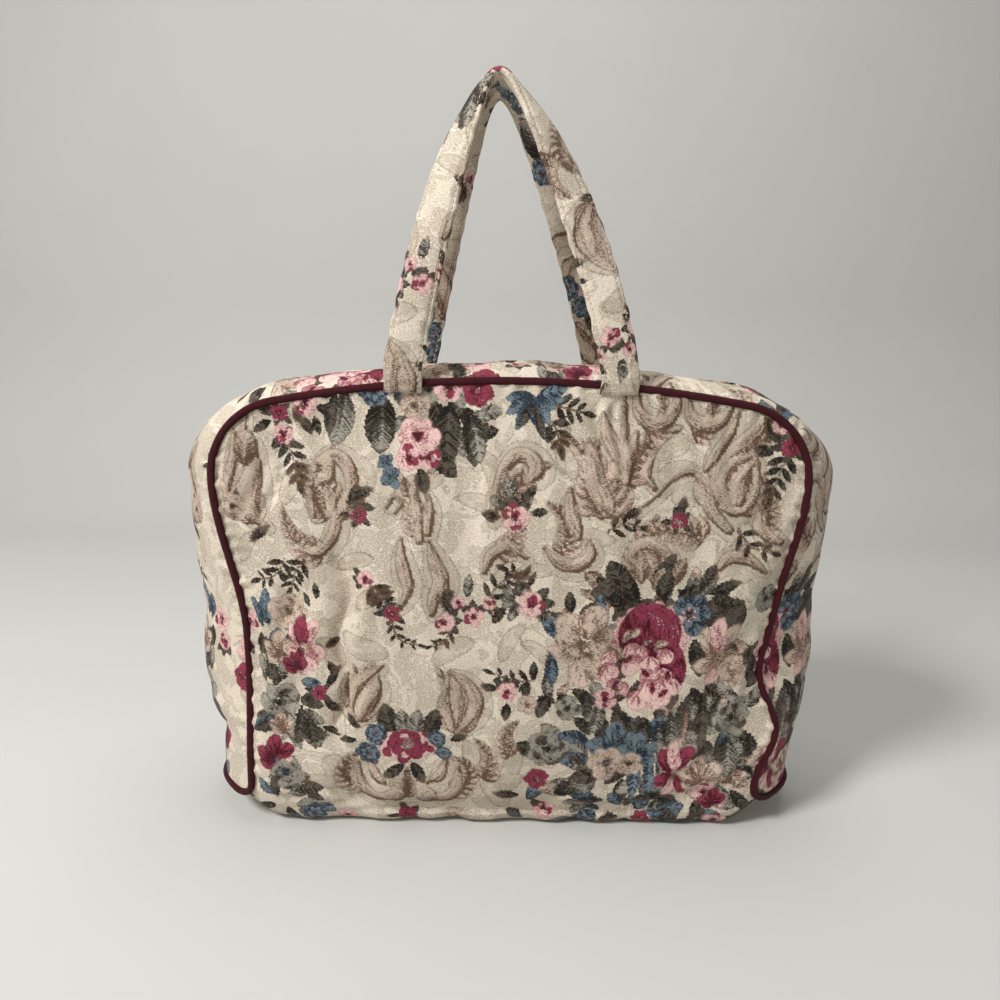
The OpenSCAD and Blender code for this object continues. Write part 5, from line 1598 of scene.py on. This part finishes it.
class BAG_OT_zip(bpy.types.Operator):
    """Makes the zip tapes and coils, and finishes the metal slider, pull and stops"""

    bl_idname = "bag.zip"
    bl_label = "Zip"

    def execute(self, context):
        s = Shape(context.scene.bag_sizes)
        c = context.scene.bag_colours
        tape_mat = finish("tape cloth", woven_finish, c.tape, 1.3, 0.72)
        coil_mat = finish("zip coil", woven_finish, shaded(c.tape, 1.2), 0.6, 0.4, 0.0)
        past, thread_r = 0.01, 0.45
        a = np.linspace(-s.strip_a - past, s.strip_a + past, 250)
        y = np.linspace(s.chain_slot / 2, s.chain_slot / 2 + s.tape_w, 26)
        cord = 0.12 * bell((y - s.chain_slot / 2 - 3.4) / 0.5) - 0.05
        u = np.concatenate([y, y[::-1]])[None] + 0 * a[:, None]
        tape_fields = thread_field(u, (a * s.tape_r)[:, None] + 0 * u)
        # One loop of the coil, and the turns of its thread
        t, ring = np.linspace(0, 1, 12), np.linspace(0, 2 * np.pi, 7, endpoint=False)
        out = mix(s.chain_w - 0.55, 0.35, np.sin(np.pi * t) ** 0.7) + s.chain_slot / 2
        rise = 0.55 + (s.chain_h - 1.15) * smooth(t)
        lead = (t - 0.5) * s.chain_pitch * 0.42
        count = int(2 * s.chain_reach / s.chain_pitch) - 1
        for side, name in ((-1, "front"), (1, "back")):
            # Tape: a flat band with a corded inner edge
            over, under = s.tape_r + s.tape_t + cord, s.tape_r + 0.05 + 0 * a
            top = [s.on_arch(r + 0 * a, a, side * yy) for r, yy in zip(over, y)]
            low = [s.on_arch(under, a, side * yy) for yy in y[::-1]]
            grid = np.array(top + low).transpose(1, 0, 2)
            faces = quads(*grid.shape[:2], round_cols=True)
            label = "zip_tape_" + name
            tape = piece(label + "_cloth", grid, faces, tape_mat, tape_fields, turn=side < 0)
            own(tape, "zip_tape", label)
            # Coil: one bent loop after another along the inner edge
            parts = []
            for k in range(count):
                at = (k - (count - 1) / 2 + side * 0.25) * s.chain_pitch / s.tape_r
                mid = s.on_arch(s.tape_r + s.tape_t + rise, at + lead / s.tape_r, side * out)
                along = unit(np.gradient(mid, axis=0))
                e1 = unit(np.cross(along, np.array([0.3, 0.2, 1.0])))
                e2 = np.cross(along, e1)
                bow = np.cos(ring)[:, None] * e1[:, None] + np.sin(ring)[:, None] * e2[:, None]
                tube = mid[:, None] + thread_r * bow
                parts.append((tube, quads(len(t), len(ring), round_cols=True)))
            verts, faces = join_parts(parts)
            coil = piece("zip_coil_" + name, verts, faces, coil_mat, {"thread": verts}, turn=True)
            own(coil, "zip_chain", "zip_chain_" + name)
        for node in ("zip_slider", "zip_pull", "zip_top_stops", "zip_bottom_stop"):
            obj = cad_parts[node]
            obj.data.materials.clear()
            obj.data.materials.append(finish("zip brass", brass_finish, c.brass))
            bevel = obj.modifiers.new("Rounded edges", "BEVEL")
            bevel.width, bevel.segments, bevel.limit_method = 0.00018, 2, "ANGLE"
        return {"FINISHED"}


class BAG_OT_lining(bpy.types.Operator):
    """Makes the loose lining inside the cloth"""

    bl_idname = "bag.lining"
    bl_label = "Lining"

    def execute(self, context):
        s = Shape(context.scene.bag_sizes)
        mat = finish("lining cloth", woven_finish, context.scene.bag_colours.lining, 1.0, 0.7)
        inset = 6.6
        tx, tz = s.outline(inset, 14, 60)
        body = np.concatenate(s.wrap(tx, tz, inset, 60, 7, 20, 60))
        # Name, grid, which way it faces, flat size in metres and how far it hangs inside
        grids = [("lining", body, 1, (0.35, 0.66), 7.5)]
        for side, name in ((-1, "lining_left"), (1, "lining_right")):
            g = s.gusset(side, np.linspace(0, s.top_row, 70), 30, inset, s.arch_a + 0.007)
            grids.append((name, g, -side, (0.112, 0.29), 5.0))
        for name, g, sign, flat, inner in grids:
            normal = outward(g) * sign
            loose = 0.35 * swell(run_along(g, 1), run_along(g, 0), 91, 40)
            g = g - normal * (inner + loose)[..., None]
            fields = thread_field(run_along(g, 1), run_along(g, 0))
            obj = piece(name + "_cloth", g, quads(*g.shape[:2]), mat, fields, turn=sign < 0)
            own(obj, "lining", name)
        return {"FINISHED"}


class BAG_OT_stage(bpy.types.Operator):
    """Makes the floor and backdrop, the lamps and the camera"""

    bl_idname = "bag.stage"
    bl_label = "Stage"

    def execute(self, context):
        scene = context.scene
        scene.view_settings.view_transform = "Standard"
        f = Finish("stage")
        where = f.add("ShaderNodeTexCoord", out=3)
        paint = scene.bag_colours.floor
        tint = f.mix(f.step(f.noise(where, 6.0, 3.0), 0.2, 0.8), shaded(paint, 0.975), paint)
        f.set(Base_Color=tint, Roughness=0.9, Specular_IOR_Level=0.1)
        # The floor turns up behind the bag, and lies a hair below it
        near, bend, r, side, tall, below = -6000, 700, 400, 7000, 6000, 0.05
        run = [(near, 0.0), (bend, 0.0)]
        for t in np.linspace(0.05, np.pi / 2, 24):
            run.append((bend + r * math.sin(t), r - r * math.cos(t)))
        run.append((bend + r, tall))
        verts = np.array([[(-side, y, z - below), (side, y, z - below)] for y, z in run], float)
        floor = piece("stage_floor", verts, quads(len(run), 2), f.material, turn=True)
        scene.world = scene.world or bpy.data.worlds.new("soft light")
        scene.world.use_nodes = True
        glow = scene.world.node_tree.nodes["Background"].inputs
        glow["Color"].default_value, glow["Strength"].default_value = (1.0, 0.985, 0.96, 1.0), 0.28
        aim = Vector((0, 0, 0.18))
        # Lamps as name, place in metres, size and power
        lamps = (
            ("key", (-1.0, -0.82, 1.4), 0.45, 30.0),
            ("fill", (1.2, -1.1, 0.8), 1.4, 2.2),
            ("top", (0.1, 0.1, 1.7), 1.0, 8.0),
            ("back", (0.3, 1.3, 1.0), 1.2, 3.0),
        )
        for name, place, size, power in lamps:
            data = bpy.data.lights.new(name, "AREA")
            data.shape, data.size, data.energy = "DISK", size, power
            lamp = bpy.data.objects.new(name, data)
            lamp.location = place
            lamp.rotation_euler = (aim - Vector(place)).to_track_quat("-Z", "Y").to_euler()
            scene.collection.objects.link(lamp)
        data = bpy.data.cameras.new("camera")
        sensor, focal = 36, 0.751
        data.sensor_width, data.lens = sensor, sensor * focal
        data.clip_start, data.clip_end = 0.01, 50
        camera = bpy.data.objects.new("camera", data)
        pitch, roll = math.radians(11.3), math.radians(0.6)
        ahead = Vector((0, math.cos(pitch), -math.sin(pitch)))
        up, right = Vector((0, math.sin(pitch), math.cos(pitch))), Vector((1, 0, 0))
        tilt_r = right * math.cos(roll) + up * math.sin(roll)
        tilt_u = up * math.cos(roll) - right * math.sin(roll)
        place = Matrix((tilt_r, tilt_u, -ahead)).transposed().to_4x4()
        place.translation = Vector((-0.0055, -0.470, 0.296))
        camera.matrix_world = place
        scene.collection.objects.link(camera)
        scene.camera = camera
        return {"FINISHED"}


class BAG_PT_sidebar(bpy.types.Panel):
    """Lists the pieces of the bag and their sizes and colours"""

    bl_idname = "BAG_PT_sidebar"
    bl_label = "Toiletry bag"
    bl_space_type = "VIEW_3D"
    bl_region_type = "UI"
    bl_category = "Bag"

    def draw(self, context):
        for operator in OPERATORS:
            self.layout.operator(operator.bl_idname)
        scene = context.scene
        for group, kind in ((scene.bag_sizes, BagSizes), (scene.bag_colours, BagColours)):
            box = self.layout.box()
            for name in kind.__annotations__:
                box.prop(group, name)


OPERATORS = (
    BAG_OT_stage,
    BAG_OT_panel,
    BAG_OT_gussets,
    BAG_OT_zip_strips,
    BAG_OT_piping,
    BAG_OT_handles,
    BAG_OT_zip,
    BAG_OT_lining,
)
CLASSES = (BagSizes, BagColours, *OPERATORS, BAG_PT_sidebar)


def register():
    for cls in CLASSES:
        bpy.utils.register_class(cls)
    bpy.types.Scene.bag_sizes = bpy.props.PointerProperty(type=BagSizes)
    bpy.types.Scene.bag_colours = bpy.props.PointerProperty(type=BagColours)


def unregister():
    del bpy.types.Scene.bag_colours
    del bpy.types.Scene.bag_sizes
    for cls in reversed(CLASSES):
        bpy.utils.unregister_class(cls)


def main():
    register()
    bpy.ops.bag.stage()
    bpy.ops.bag.panel()
    bpy.ops.bag.gussets()
    bpy.ops.bag.zip_strips()
    bpy.ops.bag.piping()
    bpy.ops.bag.handles()
    bpy.ops.bag.zip()
    bpy.ops.bag.lining()


if __name__ == "__main__":
    main()
